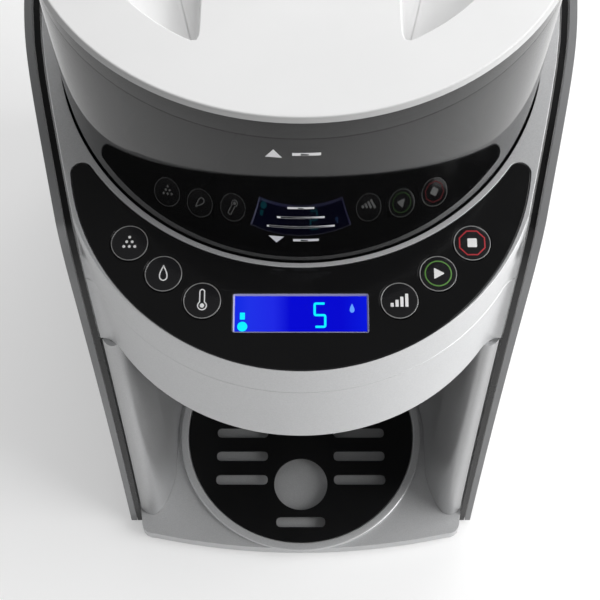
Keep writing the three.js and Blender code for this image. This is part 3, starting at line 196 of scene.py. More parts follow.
def offset(outline, inset):
    """A counterclockwise outline moved inwards: each point goes along the sum of its two edges' normals."""
    ahead = np.roll(outline, -1, axis=0) - outline
    ahead /= np.linalg.norm(ahead, axis=1)[:, None]
    behind = np.roll(ahead, 1, axis=0)
    normal_ahead = np.column_stack([-ahead[:, 1], ahead[:, 0]])
    normal_behind = np.column_stack([-behind[:, 1], behind[:, 0]])
    share = 1 + np.sum(normal_ahead * normal_behind, axis=1)
    return outline + inset * (normal_ahead + normal_behind) / share[:, None]


def path_normals(path):
    """Unit normals on the left of an open path, from its central differences."""
    along = np.gradient(path, axis=0)
    along /= np.linalg.norm(along, axis=1)[:, None]
    return np.column_stack([-along[:, 1], along[:, 0]])


def quarter_rings(ease, steps=EASE_STEPS):
    """(inset, drop) pairs of a rounded edge, from the wall, (0, ease), to the flat, (ease, 0)."""
    angle = np.linspace(0.0, math.pi / 2, steps + 1)
    return np.column_stack([ease * (1 - np.cos(angle)), ease * (1 - np.sin(angle))])


def edge_rings(low, high, ease):
    """(inset, height) pairs up a wall with both of its edges rounded."""
    rings = quarter_rings(ease)
    lower = np.column_stack([rings[::-1, 0], low + rings[::-1, 1]])
    upper = np.column_stack([rings[:, 0], high - rings[:, 1]])
    return np.concatenate([lower, upper])


def lathe_grid(profile, x=0.0, y=0.0, count=ROUND):
    """Rows follow (radius, height) pairs and columns go round: (x + r cos a, y + r sin a, h)."""
    profile = np.asarray(profile, float)
    angle = np.linspace(0.0, FULL_TURN, count, endpoint=False)
    radius = profile[:, 0][:, None]
    height = np.broadcast_to(profile[:, 1][:, None], (len(profile), count))
    return np.stack([x + radius * np.cos(angle), y + radius * np.sin(angle), height], axis=2)


def wall_grid(outline, rings, outward=False):
    """Rows are the outline at each (inset, height); a hole's outline grows where a solid's shrinks."""
    sign = -1.0 if outward else 1.0
    rows = [np.column_stack([offset(outline, sign * inset), np.full(len(outline), height)])
            for inset, height in rings]
    return np.stack(rows)


# The machine's own outlines

def deck_height(y):
    """The deck is a plane that rises to the back: z = height + y tan(tilt)."""
    return DECK["height"] + math.tan(DECK["tilt"]) * y


def on_deck(points):
    """Turns (x, s along the slope, h above it) into the plan's x, y, z by one turn about X."""
    x, s, h = np.moveaxis(np.asarray(points, float), -1, 0)
    cosine, sine = math.cos(DECK["tilt"]), math.sin(DECK["tilt"])
    return np.stack([x, s * cosine - h * sine, DECK["height"] + s * sine + h * cosine], axis=-1)


def half_width(y, z, inset):
    """Half width: a hyperbola that is straight at the back and tapers in front, more so higher up."""
    share = SIDE["floor_share"] + (SIDE["deck_share"] - SIDE["floor_share"]) * z / DECK["height"]
    return SIDE["half"] - inset - share * (np.hypot(y, SIDE["blend"]) - y) / 2


def side_front(share):
    """The side's front edge leans back with its share of the height, and an ellipse rounds its upper end."""
    turn = np.clip((share - SIDE["corner_share"]) / (1 - SIDE["corner_share"]), 0.0, 1.0)
    lean = SIDE["front_floor"] + (SIDE["front_deck"] - SIDE["front_floor"]) * share
    return lean + SIDE["corner_run"] * (1 - np.sqrt(1 - turn ** 2))


def side_front_at(z):
    """The y of the side's front edge at a height."""
    return side_front(np.minimum(z / deck_height(SIDE["front_deck"]), 1.0))


def head_points(inset, height_at):
    """Head outline: an arc round the nose, a parabola out to the cheek, then the hyperbolic side.
    height_at(y) lifts it, and as the arc and the cheek follow the height, y is found in a few rounds."""
    share = np.concatenate([np.linspace(0.0, 1.0, STEPS["head_nose"]),
                            1 + np.linspace(0.0, 1.0, STEPS["head_cheek"] + 1)[1:],
                            2 + np.linspace(0.0, 1.0, STEPS["head_side"] + 1)[1:]])
    t = np.clip(share - 1, 0.0, 1.0)
    y = np.full(len(share), HEAD["front"])
    for _ in range(STEPS["head_rounds"]):
        z = height_at(y)
        rise = (z - HEAD["bottom"]) / (DECK["height"] - HEAD["bottom"])
        radius = HEAD["chin"] + (HEAD["deck"] - HEAD["chin"]) * rise - inset
        middle = HEAD["front"] + inset + radius
        front = side_front_at(z) + CHEEK["setback"] + inset
        leave_y = front - CHEEK["blend"]
        leave = np.arccos((middle - leave_y) / radius)
        leave_x = radius * np.sin(leave)
        bend_x = leave_x + CHEEK["blend"] / np.tan(leave)
        cheek_end = half_width(front, z, BODY_INSET + inset)
        angle = leave * np.minimum(share, 1.0)
        cheek_x = parabola(t, leave_x, bend_x, cheek_end)
        cheek_y = parabola(t, leave_y, front, front)
        side_y = front + (HEAD["back"] - inset - front) * np.clip(share - 2, 0.0, 1.0)
        parts = [share <= 1, share <= 2]
        y = np.select(parts, [middle - radius * np.cos(angle), cheek_y], side_y)
        x = np.select(parts, [radius * np.sin(angle), cheek_x], half_width(side_y, z, BODY_INSET + inset))
    right = np.column_stack([x, y, height_at(y) + 0 * y])
    left = right[:0:-1] * [-1.0, 1.0, 1.0]
    return np.concatenate([right, left])


def crescent(inset):
    """Panel outline in (x, s): an outer arc, an inner arc about the hopper, and tips that touch both."""
    outer, inner, tip = PANEL["outer"] - inset, PANEL["inner"] + inset, PANEL["tip"] - inset
    across = (PANEL["inner"] + PANEL["tip"]) ** 2 - (PANEL["outer"] - PANEL["tip"]) ** 2
    tip_s = (across + PANEL["outer_s"] ** 2) / (2 * PANEL["outer_s"])
    tip_x = math.sqrt((PANEL["inner"] + PANEL["tip"]) ** 2 - tip_s ** 2)
    outer_angle = math.atan2(tip_s - PANEL["outer_s"], tip_x)
    inner_angle = math.atan2(tip_s, tip_x)
    long_steps, tip_steps = STEPS["crescent_long"], STEPS["crescent_tip"]

    def arc(x, s, radius, start, end, steps):
        angle = start + (end - start) * (np.arange(steps) + 0.5) / steps
        return np.column_stack([x + radius * np.cos(angle), s + radius * np.sin(angle)])

    return counterclockwise(np.concatenate([
        arc(0.0, PANEL["outer_s"], outer, -math.pi - outer_angle, outer_angle, long_steps),
        arc(tip_x, tip_s, tip, outer_angle, inner_angle + math.pi, tip_steps),
        arc(0.0, 0.0, inner, inner_angle, -math.pi - inner_angle, long_steps),
        arc(-tip_x, tip_s, tip, -inner_angle, math.pi - outer_angle, tip_steps),
    ]))


def rectangle(x0, x1, y0, y1, reach, steps=EASE_STEPS):
    """A rectangle with eased corners, counterclockwise."""
    return eased([(x0, y0), (x1, y0), (x1, y1), (x0, y1)], reach, steps)


def button_place(name):
    """A button's centre in the deck's (x, s), from its distance and angle about the hopper."""
    _, distance, degrees = BUTTONS[name]
    angle = math.radians(degrees)
    return distance * math.sin(angle), -distance * math.cos(angle)


# Meshes

def grid_quads(rows, columns, first, closed_rows):
    """Quads between a grid's neighbouring rows, which are loops, and columns; its points start at first."""
    row = np.arange(rows if closed_rows else rows - 1)[:, None]
    column = np.arange(columns)[None, :]
    next_row, next_column = (row + 1) % rows, (column + 1) % columns
    corners = [row * columns + column, row * columns + next_column,
               next_row * columns + next_column, next_row * columns + column]
    return first + np.stack(np.broadcast_arrays(*corners), axis=-1).reshape(-1, 4)


def surface(name, grids, caps=(), closed_rows=False, place=None):
    """One mesh from grids of points, joined where they meet, with flat caps between the loops of each cap."""
    points, faces, first = [], [], 0
    for grid in grids:
        rows, columns, _ = grid.shape
        points.append(grid.reshape(-1, 3))
        faces += grid_quads(rows, columns, first, closed_rows).tolist()
        first += rows * columns
    for loops in caps:
        outlines = [[Vector(point) for point in loop.tolist()] for loop in loops]
        triangles = tessellate_polygon(outlines)
        faces += [[first + corner for corner in triangle] for triangle in triangles]
        points += list(loops)
        first += sum(len(loop) for loop in loops)
    points = np.concatenate(points)
    if place is not None:
        points = place(points)
    return mesh_object(name, to_frame(points), faces)


def linked(name, data):
    """A new object in the scene, at the origin."""
    made = bpy.data.objects.new(name, data)
    bpy.context.scene.collection.objects.link(made)
    return made


def mesh_object(name, points, faces):
    """A mesh object whose doubles are merged and whose faces point outwards."""
    mesh = bpy.data.meshes.new(name)
    mesh.from_pydata(points.tolist(), [], faces)
    work = bmesh.new()
    work.from_mesh(mesh)
    bmesh.ops.remove_doubles(work, verts=work.verts, dist=MERGE)
    bmesh.ops.dissolve_degenerate(work, edges=work.edges, dist=MERGE)
    bmesh.ops.recalc_face_normals(work, faces=work.faces)
    if work.calc_volume(signed=True) < 0:
        bmesh.ops.reverse_faces(work, faces=work.faces)
    work.to_mesh(mesh)
    work.free()
    smooth(mesh)
    return linked(name, mesh)


def smooth(mesh):
    """Smooth shading, with the edges sharper than SHARP_ANGLE kept."""
    mesh.polygons.foreach_set("use_smooth", np.ones(len(mesh.polygons), bool))
    mesh.set_sharp_from_angle(angle=SHARP_ANGLE)
    mesh.update()


def even_normals(piece):
    """Keeps large flat faces flat in the light beside their rounded edges."""
    weighted = piece.modifiers.new("even_normals", "WEIGHTED_NORMAL")
    weighted.keep_sharp = True
    return piece


def capped(name, grids, place=None):
    """Walls with one flat cap between all their first loops and one between all their last."""
    caps = [[grid[0] for grid in grids], [grid[-1] for grid in grids]]
    return even_normals(surface(name, grids, caps=caps, place=place))


def plate(name, outline, holes, low, high, ease, place=None):
    """A flat solid with holes, all its edges rounded: one wall for each outline and two caps."""
    rings = edge_rings(low, high, ease)
    walls = [wall_grid(outline, rings)] + [wall_grid(hole, rings, outward=True) for hole in holes]
    return capped(name, walls, place)


def bevelled(piece, width, segments, angle):
    """Rounds the edges that are sharper than an angle; the width is in millimetres."""
    bevel = piece.modifiers.new("eased_edges", "BEVEL")
    bevel.width = width * MILLIMETRE
    bevel.segments = segments
    bevel.limit_method = "ANGLE"
    bevel.angle_limit = angle
    bevel.harden_normals = True
    return piece


def refined(node, width):
    """The solid's own mesh with its triangles merged into faces and its edges bevelled."""
    mesh = frame["nodes"][node].data.copy()
    mesh.name = node + "_fine"
    work = bmesh.new()
    work.from_mesh(mesh)
    bmesh.ops.remove_doubles(work, verts=work.verts, dist=SOLID_MERGE)
    bmesh.ops.dissolve_limit(work, angle_limit=FLAT_ANGLE, verts=work.verts, edges=work.edges)
    work.to_mesh(mesh)
    work.free()
    for name in [attribute.name for attribute in mesh.attributes if attribute.name == "custom_normal"]:
        mesh.attributes.remove(mesh.attributes[name])
    smooth(mesh)
    return bevelled(linked(node + "_fine", mesh), width, STEPS["refined"], REFINED_ANGLE)


def ribbon(path, width, closed=False):
    """The outlines of a line: one loop round an open path, an outer and an inner loop for a closed one."""
    path = np.asarray(path, float)
    if closed:
        path = counterclockwise(path)
        return offset(path, -width / 2), offset(path, width / 2)
    across = path_normals(path) * width / 2
    return (counterclockwise(np.concatenate([path + across, (path - across)[::-1]])),)


# Finishes: nodes, and groups of nodes that more than one material uses

def feed(tree, node, inputs):
    """Gives each of a node's inputs its value, or a link where the value is another node's socket."""
    for label, value in inputs.items():
        if isinstance(value, bpy.types.NodeSocket):
            tree.links.new(value, node.inputs[label])
        else:
            node.inputs[label].default_value = value


def added(tree, kind, inputs, **settings):
    """A new shader node with its settings and inputs."""
    node = tree.nodes.new("ShaderNode" + kind)
    for label, value in settings.items():
        setattr(node, label, value)
    feed(tree, node, inputs)
    return node


def mapped_range(tree, source, band, span=UNIT):
    """A socket's values with a band of them turned into a span; the ends are numbers or sockets."""
    ends = {"From Min": band[0], "From Max": band[1], "To Min": span[0], "To Max": span[1]}
    return added(tree, "MapRange", {"Value": source, **ends}).outputs["Result"]


def place_on_piece(tree):
    """The point that is shaded, as Object coordinates in metres."""
    return tree.nodes.new("ShaderNodeTexCoord").outputs["Object"]


def new_group(name, inputs, outputs):
    """An empty shader group with named sockets; a colour starts as four numbers and a value as one."""
    group = bpy.data.node_groups.new(name, "ShaderNodeTree")
    for label, value in inputs.items():
        kind = "NodeSocketColor" if isinstance(value, tuple) else "NodeSocketFloat"
        group.interface.new_socket(label, in_out="INPUT", socket_type=kind).default_value = value
    for label, kind in outputs.items():
        group.interface.new_socket(label, in_out="OUTPUT", socket_type=kind)
    return group, group.nodes.new("NodeGroupInput").outputs, group.nodes.new("NodeGroupOutput")


PURE_WHITE = (1.0, 1.0, 1.0, 1.0)
PATCH_BAND = (0.35, 0.65)
SMEAR_BAND = (0.5, 0.75)

# Textures: how many features a metre holds, and each noise's own settings
SCALE = {"skin": 2400.0, "rubber": 1800.0, "dark": 1500.0, "board": 900.0, "patches": 18.0, "flakes": 2600.0,
         "smears": 26.0}
NOISE = {"grain": {"Detail": 3.0}, "patches": {"Detail": 4.0, "Roughness": 0.6},
         "smears": {"Detail": 5.0, "Distortion": 1.2}}


def moulded_group():
    """Moulded or painted skin: fine grain for the bump, and soft patches that vary colour and roughness."""
    group, given, result = new_group(
        "moulded_skin",
        {"Color": PURE_WHITE, "Patch Color": PURE_WHITE, "Grain Scale": SCALE["skin"],
         "Patch Scale": SCALE["patches"], "Roughness": 0.4, "Roughness Spread": 0.06},
        {"Color": "NodeSocketColor", "Roughness": "NodeSocketFloat", "Height": "NodeSocketFloat"})
    place = place_on_piece(group)
    grain = added(group, "TexNoise", {"Vector": place, "Scale": given["Grain Scale"], **NOISE["grain"]})
    patches = added(group, "TexNoise", {"Vector": place, "Scale": given["Patch Scale"], **NOISE["patches"]})
    mask = mapped_range(group, patches.outputs["Fac"], PATCH_BAND)
    mix = added(group, "Mix", {"Factor": mask, "A": given["Color"], "B": given["Patch Color"]},
                data_type="RGBA")
    rough = added(group, "Math", {0: mask, 1: given["Roughness Spread"], 2: given["Roughness"]},
                  operation="MULTIPLY_ADD")
    feed(group, result, {"Color": mix.outputs["Result"], "Roughness": rough.outputs["Value"],
                         "Height": grain.outputs["Fac"]})
    return group


def flake_group():
    """Silver paint: tiny flakes, each of which dims the colour by its own share of the sparkle."""
    group, given, result = new_group(
        "silver_flakes", {"Color": PURE_WHITE, "Flake Scale": SCALE["flakes"], "Sparkle": 0.1},
        {"Color": "NodeSocketColor"})
    cells = added(group, "TexVoronoi", {"Vector": place_on_piece(group), "Scale": given["Flake Scale"]})
    split = added(group, "SeparateColor", {"Color": cells.outputs["Color"]})
    least = added(group, "Math", {0: 1.0, 1: given["Sparkle"]}, operation="SUBTRACT")
    gain = mapped_range(group, split.outputs["Red"], UNIT, (least.outputs["Value"], 1.0))
    dimmer = added(group, "VectorMath", {0: given["Color"], "Scale": gain}, operation="SCALE")
    feed(group, result, {"Color": dimmer.outputs["Vector"]})
    return group


def smudge_group():
    """Handled gloss: soft smears that raise the roughness, and whose pattern is the bump's height."""
    group, given, result = new_group(
        "handled_gloss", {"Roughness": 0.06, "Smear": 0.08, "Smear Scale": SCALE["smears"]},
        {"Roughness": "NodeSocketFloat", "Height": "NodeSocketFloat"})
    smears = added(group, "TexNoise", {"Vector": place_on_piece(group), "Scale": given["Smear Scale"],
                                       **NOISE["smears"]})
    mask = mapped_range(group, smears.outputs["Fac"], SMEAR_BAND)
    rough = added(group, "Math", {0: mask, 1: given["Smear"], 2: given["Roughness"]},
                  operation="MULTIPLY_ADD")
    feed(group, result, {"Roughness": rough.outputs["Value"], "Height": smears.outputs["Fac"]})
    return group


MOULDED = moulded_group()
FLAKES = flake_group()
SMUDGES = smudge_group()

# Depths of grain in millimetres, then the values that each kind of finish shares
DEPTH = {"print": 0.002, "satin": 0.003, "skin": 0.004, "peel": 0.006, "coarse": 0.01, "rough": 0.02}
PATCH_GAIN = {"lid": 0.975, "gloss": 1.25, "clear": 1.08, "steel": 0.9, "glow": 0.94}
PAINT = {"grain": 420.0, "spread": 0.05, "coat": 0.15, "coat_roughness": 0.25}
BRUSH = {"stretch": (1.0, 1.0, 14.0), "scale": 900.0, "detail": 2.0, "band": (0.3, 0.7), "spread": 0.15}
GLOW = {"roughness": 0.2, "patch_scale": 120.0, "base_share": 0.3, "mirrored_share": 0.05}
CLEAR_IOR = 1.49
SCREEN_STOPS = ((0.0, (0.004, 0.025, 0.9)), (0.12, (0.015, 0.035, 0.95)), (0.3, (0.015, 0.025, 0.92)),
                (0.42, (0.001, 0.002, 0.76)), (0.8, (0.001, 0.002, 0.74)), (1.0, (0.002, 0.01, 0.85)))
SCREEN_GLASS = {"roughness": 0.12, "spread": 0.03, "strength": 0.85, "specular": 0.1,
                "base": (0.001, 0.001, 0.004)}


def material(name):
    """A new node material and its Principled shader."""
    made = bpy.data.materials.new(name)
    made.use_nodes = True
    shader = next(node for node in made.node_tree.nodes if node.type == "BSDF_PRINCIPLED")
    return made, made.node_tree, shader


def placed(tree, group, values):
    """The outputs of a group that is placed in a material with this material's own values."""
    return added(tree, "Group", values, node_tree=group).outputs


def full(colour, gain=1.0):
    """A colour times a gain, with full alpha."""
    return tuple(gain * part for part in colour) + (1.0,)


def bump(tree, height, depth):
    """The normal that a height gives; the depth is in millimetres."""
    return added(tree, "Bump", {"Distance": depth * MILLIMETRE, "Height": height}).outputs["Normal"]


def moulded(name, colour, patch, roughness, grain=SCALE["skin"], depth=DEPTH["skin"], metallic=0.0,
            specular=0.5):
    """Moulded plastic: the shared skin group drives colour, roughness and bump."""
    made, tree, shader = material(name)
    skin = placed(tree, MOULDED, {"Color": full(colour), "Patch Color": full(patch), "Grain Scale": grain,
                                  "Roughness": roughness})
    feed(tree, shader, {"Base Color": skin["Color"], "Roughness": skin["Roughness"], "Metallic": metallic,
                        "Specular IOR Level": specular, "Normal": bump(tree, skin["Height"], depth)})
    return made


def lid_plastic_with_painted_shade(name, colour, painted_rim_shade, roughness):
    """The lid's white plastic, which turns grey round its rim as painted shade for its side: the mix follows
    the distance from its axis.
    """
    made, tree, shader = material(name)
    skin = placed(tree, MOULDED, {"Color": full(colour), "Patch Color": full(colour, PATCH_GAIN["lid"]),
                                  "Roughness": roughness})
    flat = added(tree, "VectorMath", {0: place_on_piece(tree), 1: (1.0, 1.0, 0.0),
                                      2: (0.0, -PLAN_SHIFT * MILLIMETRE, 0.0)}, operation="MULTIPLY_ADD")
    away = added(tree, "VectorMath", {0: flat.outputs["Vector"]}, operation="LENGTH")
    band = (LID["painted_shade_start"] * MILLIMETRE, LID["painted_shade_end"] * MILLIMETRE)
    painted_shade_mask = mapped_range(tree, away.outputs["Value"], band)
    mix = added(tree, "Mix", {"Factor": painted_shade_mask, "A": skin["Color"], "B": full(painted_rim_shade)}, data_type="RGBA")
    feed(tree, shader, {"Base Color": mix.outputs["Result"], "Roughness": skin["Roughness"],
                        "Normal": bump(tree, skin["Height"], DEPTH["satin"])})
    return made


def silver_paint(name, colour, roughness, metallic):
    """Silver paint under a clear coat: flakes in the colour and a very shallow orange peel."""
    made, tree, shader = material(name)
    flakes = placed(tree, FLAKES, {"Color": full(colour)})
    skin = placed(tree, MOULDED, {"Grain Scale": PAINT["grain"], "Roughness": roughness,
                                  "Roughness Spread": PAINT["spread"]})
    feed(tree, shader, {"Base Color": flakes["Color"], "Roughness": skin["Roughness"], "Metallic": metallic,
                        "Coat Weight": PAINT["coat"], "Coat Roughness": PAINT["coat_roughness"],
                        "Normal": bump(tree, skin["Height"], DEPTH["peel"])})
    return made


def polished(name, colour, patch_gain, roughness, smear, values):
    """Smooth plastic with faint smears, and the values that make it gloss or clear."""
    made, tree, shader = material(name)
    handled = placed(tree, SMUDGES, {"Roughness": roughness, "Smear": smear})
    skin = placed(tree, MOULDED, {"Color": full(colour), "Patch Color": full(colour, patch_gain)})
    feed(tree, shader, {"Base Color": skin["Color"], "Roughness": handled["Roughness"],
                        "Normal": bump(tree, handled["Height"], DEPTH["print"]), **values})
    return made


def gloss(name, colour, roughness, smear, specular):
    """High-gloss plastic."""
    return polished(name, colour, PATCH_GAIN["gloss"], roughness, smear, {"Specular IOR Level": specular})


def clear(name, colour, roughness, transmission, smear, specular):
    """Clear or smoked plastic: mostly transmission, tinted by its colour."""
    return polished(name, colour, PATCH_GAIN["clear"], roughness, smear,
                    {"Transmission Weight": transmission, "IOR": CLEAR_IOR, "Specular IOR Level": specular})


def brushed(name, colour, roughness):
    """Brushed metal: noise stretched along one axis makes the lines of the brush."""
    made, tree, shader = material(name)
    turn = added(tree, "Mapping", {"Vector": place_on_piece(tree), "Scale": BRUSH["stretch"]})
    lines = added(tree, "TexNoise", {"Vector": turn.outputs["Vector"], "Scale": BRUSH["scale"],
                                     "Detail": BRUSH["detail"]}).outputs["Fac"]
    skin = placed(tree, MOULDED, {"Color": full(colour), "Patch Color": full(colour, PATCH_GAIN["steel"])})
    rough = mapped_range(tree, lines, BRUSH["band"], (roughness, roughness + BRUSH["spread"]))
    feed(tree, shader, {"Base Color": skin["Color"], "Roughness": rough, "Metallic": 1.0,
                        "Normal": bump(tree, lines, DEPTH["satin"])})
    return made


def dimmed(tree, colour):
    """The lit colour, of which a mirror sees a share, because a screen shines mostly straight ahead."""
    path = tree.nodes.new("ShaderNodeLightPath")
    gain = mapped_range(tree, path.outputs["Is Glossy Ray"], UNIT, (1.0, GLOW["mirrored_share"]))
    return added(tree, "VectorMath", {0: colour, "Scale": gain}, operation="SCALE").outputs["Vector"]


def glowing(name, colour):
    """A lit mark: its own light over a smooth face, with soft patches in the glow."""
    made, tree, shader = material(name)
    skin = placed(tree, MOULDED, {"Color": full(colour), "Patch Color": full(colour, PATCH_GAIN["glow"]),
                                  "Roughness": GLOW["roughness"], "Patch Scale": GLOW["patch_scale"]})
    feed(tree, shader, {"Base Color": full(colour, GLOW["base_share"]), "Roughness": skin["Roughness"],
                        "Emission Color": dimmed(tree, skin["Color"]), "Emission Strength": 1.0})
    return made


def screen(name):
    """The lit screen: deep blue with a violet left third and brighter edges, in stops across its own X."""
    made, tree, shader = material(name)
    split = added(tree, "SeparateXYZ", {"Vector": place_on_piece(tree)})
    half = DISPLAY["half"] * MILLIMETRE
    ramp = added(tree, "ValToRGB", {"Fac": mapped_range(tree, split.outputs["X"], (-half, half))})
    first, last = ramp.color_ramp.elements
    first.position, last.position = SCREEN_STOPS[0][0], SCREEN_STOPS[-1][0]
    first.color, last.color = full(SCREEN_STOPS[0][1]), full(SCREEN_STOPS[-1][1])
    for position, colour in SCREEN_STOPS[1:-1]:
        ramp.color_ramp.elements.new(position).color = full(colour)
    skin = placed(tree, MOULDED, {"Roughness": SCREEN_GLASS["roughness"],
                                  "Roughness Spread": SCREEN_GLASS["spread"]})
    feed(tree, shader, {"Base Color": full(SCREEN_GLASS["base"]), "Roughness": skin["Roughness"],
                        "Emission Color": dimmed(tree, ramp.outputs["Color"]),
                        "Emission Strength": SCREEN_GLASS["strength"],
                        "Specular IOR Level": SCREEN_GLASS["specular"]})
    return made


SILVER = silver_paint("satin_silver_paint", (0.62, 0.625, 0.632), 0.36, metallic=0.45)
# The bay's silver is the body's silver paint made darker: painted shade for the bay under the head.
SILVER_BAY_PAINTED_SHADE = silver_paint("bay_silver_paint_painted_shade", (0.5, 0.503, 0.508), 0.28, metallic=0.6)
GREY = moulded("side_panel_grey", (0.22, 0.222, 0.226), (0.206, 0.208, 0.212), 0.38, metallic=0.2)
BLACK = gloss("panel_black_gloss", (0.005, 0.005, 0.0053), 0.1, 0.1, specular=0.42)
STRIP = gloss("strip_black_gloss", (0.006, 0.006, 0.0063), 0.24, 0.1, specular=0.3)
KEY = gloss("button_black_gloss", (0.01, 0.01, 0.011), 0.12, 0.05, specular=0.7)
GRATE_BLACK = moulded("grate_black", (0.004, 0.004, 0.0043), (0.005, 0.005, 0.0054), 0.3,
                      depth=DEPTH["satin"], specular=0.3)
DARK = moulded("dark_moulded_plastic", (0.03, 0.03, 0.033), (0.036, 0.036, 0.04), 0.55,
               grain=SCALE["dark"], depth=DEPTH["coarse"])
WHITE = moulded("satin_white_plastic", (0.84, 0.84, 0.84), (0.82, 0.82, 0.82), 0.34, depth=DEPTH["satin"])
# The lid's grey rim is painted shade, not a grey plastic.
LID_WHITE_PAINTED_SHADE = lid_plastic_with_painted_shade("lid_white_plastic_painted_shade", (0.78, 0.78, 0.78), (0.44, 0.44, 0.44), 0.34)
SMOKED = clear("smoked_tub", (0.04, 0.04, 0.042), 0.035, 0.97, smear=0.03, specular=0.4)
CLEAR = clear("clear_tub", (0.9, 0.93, 0.94), 0.05, 0.95, smear=0.05, specular=0.5)
STEEL = brushed("brushed_steel", (0.56, 0.56, 0.57), 0.24)
BOARD = moulded("board_lacquer", (0.012, 0.1, 0.04), (0.01, 0.085, 0.036), 0.35, grain=SCALE["board"],
                depth=DEPTH["rough"])
RUBBER = moulded("foot_rubber", (0.02, 0.02, 0.02), (0.026, 0.026, 0.026), 0.85, grain=SCALE["rubber"],
                 depth=DEPTH["rough"])
SILICONE = moulded("clear_silicone", (0.6, 0.6, 0.59), (0.56, 0.56, 0.55), 0.5, depth=DEPTH["peel"])
SCREEN = screen("screen_blue")
CYAN = glowing("screen_cyan", (0.0, 0.75, 1.0))
CYAN_DIM = glowing("screen_pale_blue", (0.1, 0.3, 0.9))
BEZEL = moulded("screen_bezel_frost", (0.42, 0.42, 0.6), (0.4, 0.4, 0.58), 0.3, depth=DEPTH["print"])
MARK = moulded("printed_white", (0.86, 0.86, 0.86), (0.82, 0.82, 0.82), 0.5, depth=DEPTH["print"])
RING = moulded("button_ring_silver", (0.5, 0.5, 0.5), (0.4, 0.4, 0.4), 0.3, depth=DEPTH["print"],
               metallic=0.6)
MARK_GREEN = moulded("printed_green", (0.1, 0.26, 0.05), (0.09, 0.24, 0.045), 0.45, depth=DEPTH["print"])
MARK_RED = moulded("printed_red", (0.45, 0.02, 0.03), (0.4, 0.016, 0.026), 0.45, depth=DEPTH["print"])


def finish(piece, finish_material, body, *nodes):
    """Gives a piece its material and body, and hides the nodes that it stands for."""
    piece.data.materials.clear()
    piece.data.materials.append(finish_material)
    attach(piece, body)
    if nodes:
        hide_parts(*nodes)
    return piece


BODY_OF = {node: body for body, nodes in frame["record"]["behaviour"]["bodies"].items() for node in nodes}


# Camera: the photograph's viewing angle, with its place in plan millimetres

IMAGE_WIDTH = 600
CAMERA = {"y": -336.6, "z": 708.0, "lens": 72.0, "sensor": 36.0, "turn": math.radians(27.1),
          "shift_pixels": -0.8, "near": 10.0, "far": 50000.0}
camera_data = bpy.data.cameras.new("camera")
camera_data.lens = CAMERA["lens"]
camera_data.sensor_width = CAMERA["sensor"]
camera_data.shift_x = CAMERA["shift_pixels"] / IMAGE_WIDTH
camera_data.clip_start = CAMERA["near"] * MILLIMETRE
camera_data.clip_end = CAMERA["far"] * MILLIMETRE
camera = linked("camera", camera_data)
camera.location = Vector(to_frame([0.0, CAMERA["y"], CAMERA["z"]]).tolist())
camera.rotation_euler = (CAMERA["turn"], 0.0, 0.0)
bpy.context.scene.camera = camera


# Hopper and lid

def hopper_shell():
    """Smoked tub: a turned wall with a round rim, on a floor with its shaft hole and outlet."""
    outer, half_wall = HOPPER["radius"], HOPPER["wall"] / 2
    inner = outer - HOPPER["wall"]
    floor = HOPPER["bottom"] + HOPPER["wall"]
    angle = np.linspace(0.0, math.pi, STEPS["hopper_bead"])
    bead = np.column_stack([outer - half_wall + half_wall * np.cos(angle),
                            HOPPER["rim"] - half_wall + half_wall * np.sin(angle)])
    quarter = quarter_rings(HOPPER["foot"], STEPS["hopper_foot"])
    foot = np.column_stack([outer - quarter[::-1, 0], HOPPER["bottom"] + quarter[::-1, 1]])
    corner = np.column_stack([inner - quarter[:, 0], floor + quarter[:, 1]])
    climb = np.linspace(0.0, 1.0, STEPS["hopper_wall"])[1:-1]
    line, half, sunk = HOPPER["line"], HOPPER["line_half"], outer - HOPPER["line_depth"]
    outer_wall = np.column_stack([outer + 0 * climb, foot[-1, 1] + climb * (line - foot[-1, 1])])
    groove = np.array([(outer, line - half), (sunk, line), (outer, line + half)])
    inner_wall = np.column_stack([inner + 0 * climb, bead[-1, 1] + climb * (corner[0, 1] - bead[-1, 1])])
    wall = lathe_grid(np.concatenate([foot, outer_wall, groove, bead, inner_wall, corner]))
    holes = [circle(HOPPER["shaft_hole"], count=SMALL_ROUND),
             circle(HOPPER["outlet"], 0.0, BAY["y"], SMALL_ROUND)]
    rings = edge_rings(HOPPER["bottom"], floor, HOPPER["hole_ease"])
    grids = [wall] + [wall_grid(hole, rings, outward=True) for hole in holes]
    return capped("hopper_tub", grids)


def shrink(outline, insets):
    """A counterclockwise outline with each point moved inwards by its own inset."""
    ahead = np.roll(outline, -1, axis=0) - outline
    ahead /= np.linalg.norm(ahead, axis=1)[:, None]
    behind = np.roll(ahead, 1, axis=0)
    normal = np.column_stack([-ahead[:, 1] - behind[:, 1], ahead[:, 0] + behind[:, 0]])
    normal /= np.linalg.norm(normal, axis=1)[:, None]
    return outline + normal * insets[:, None]


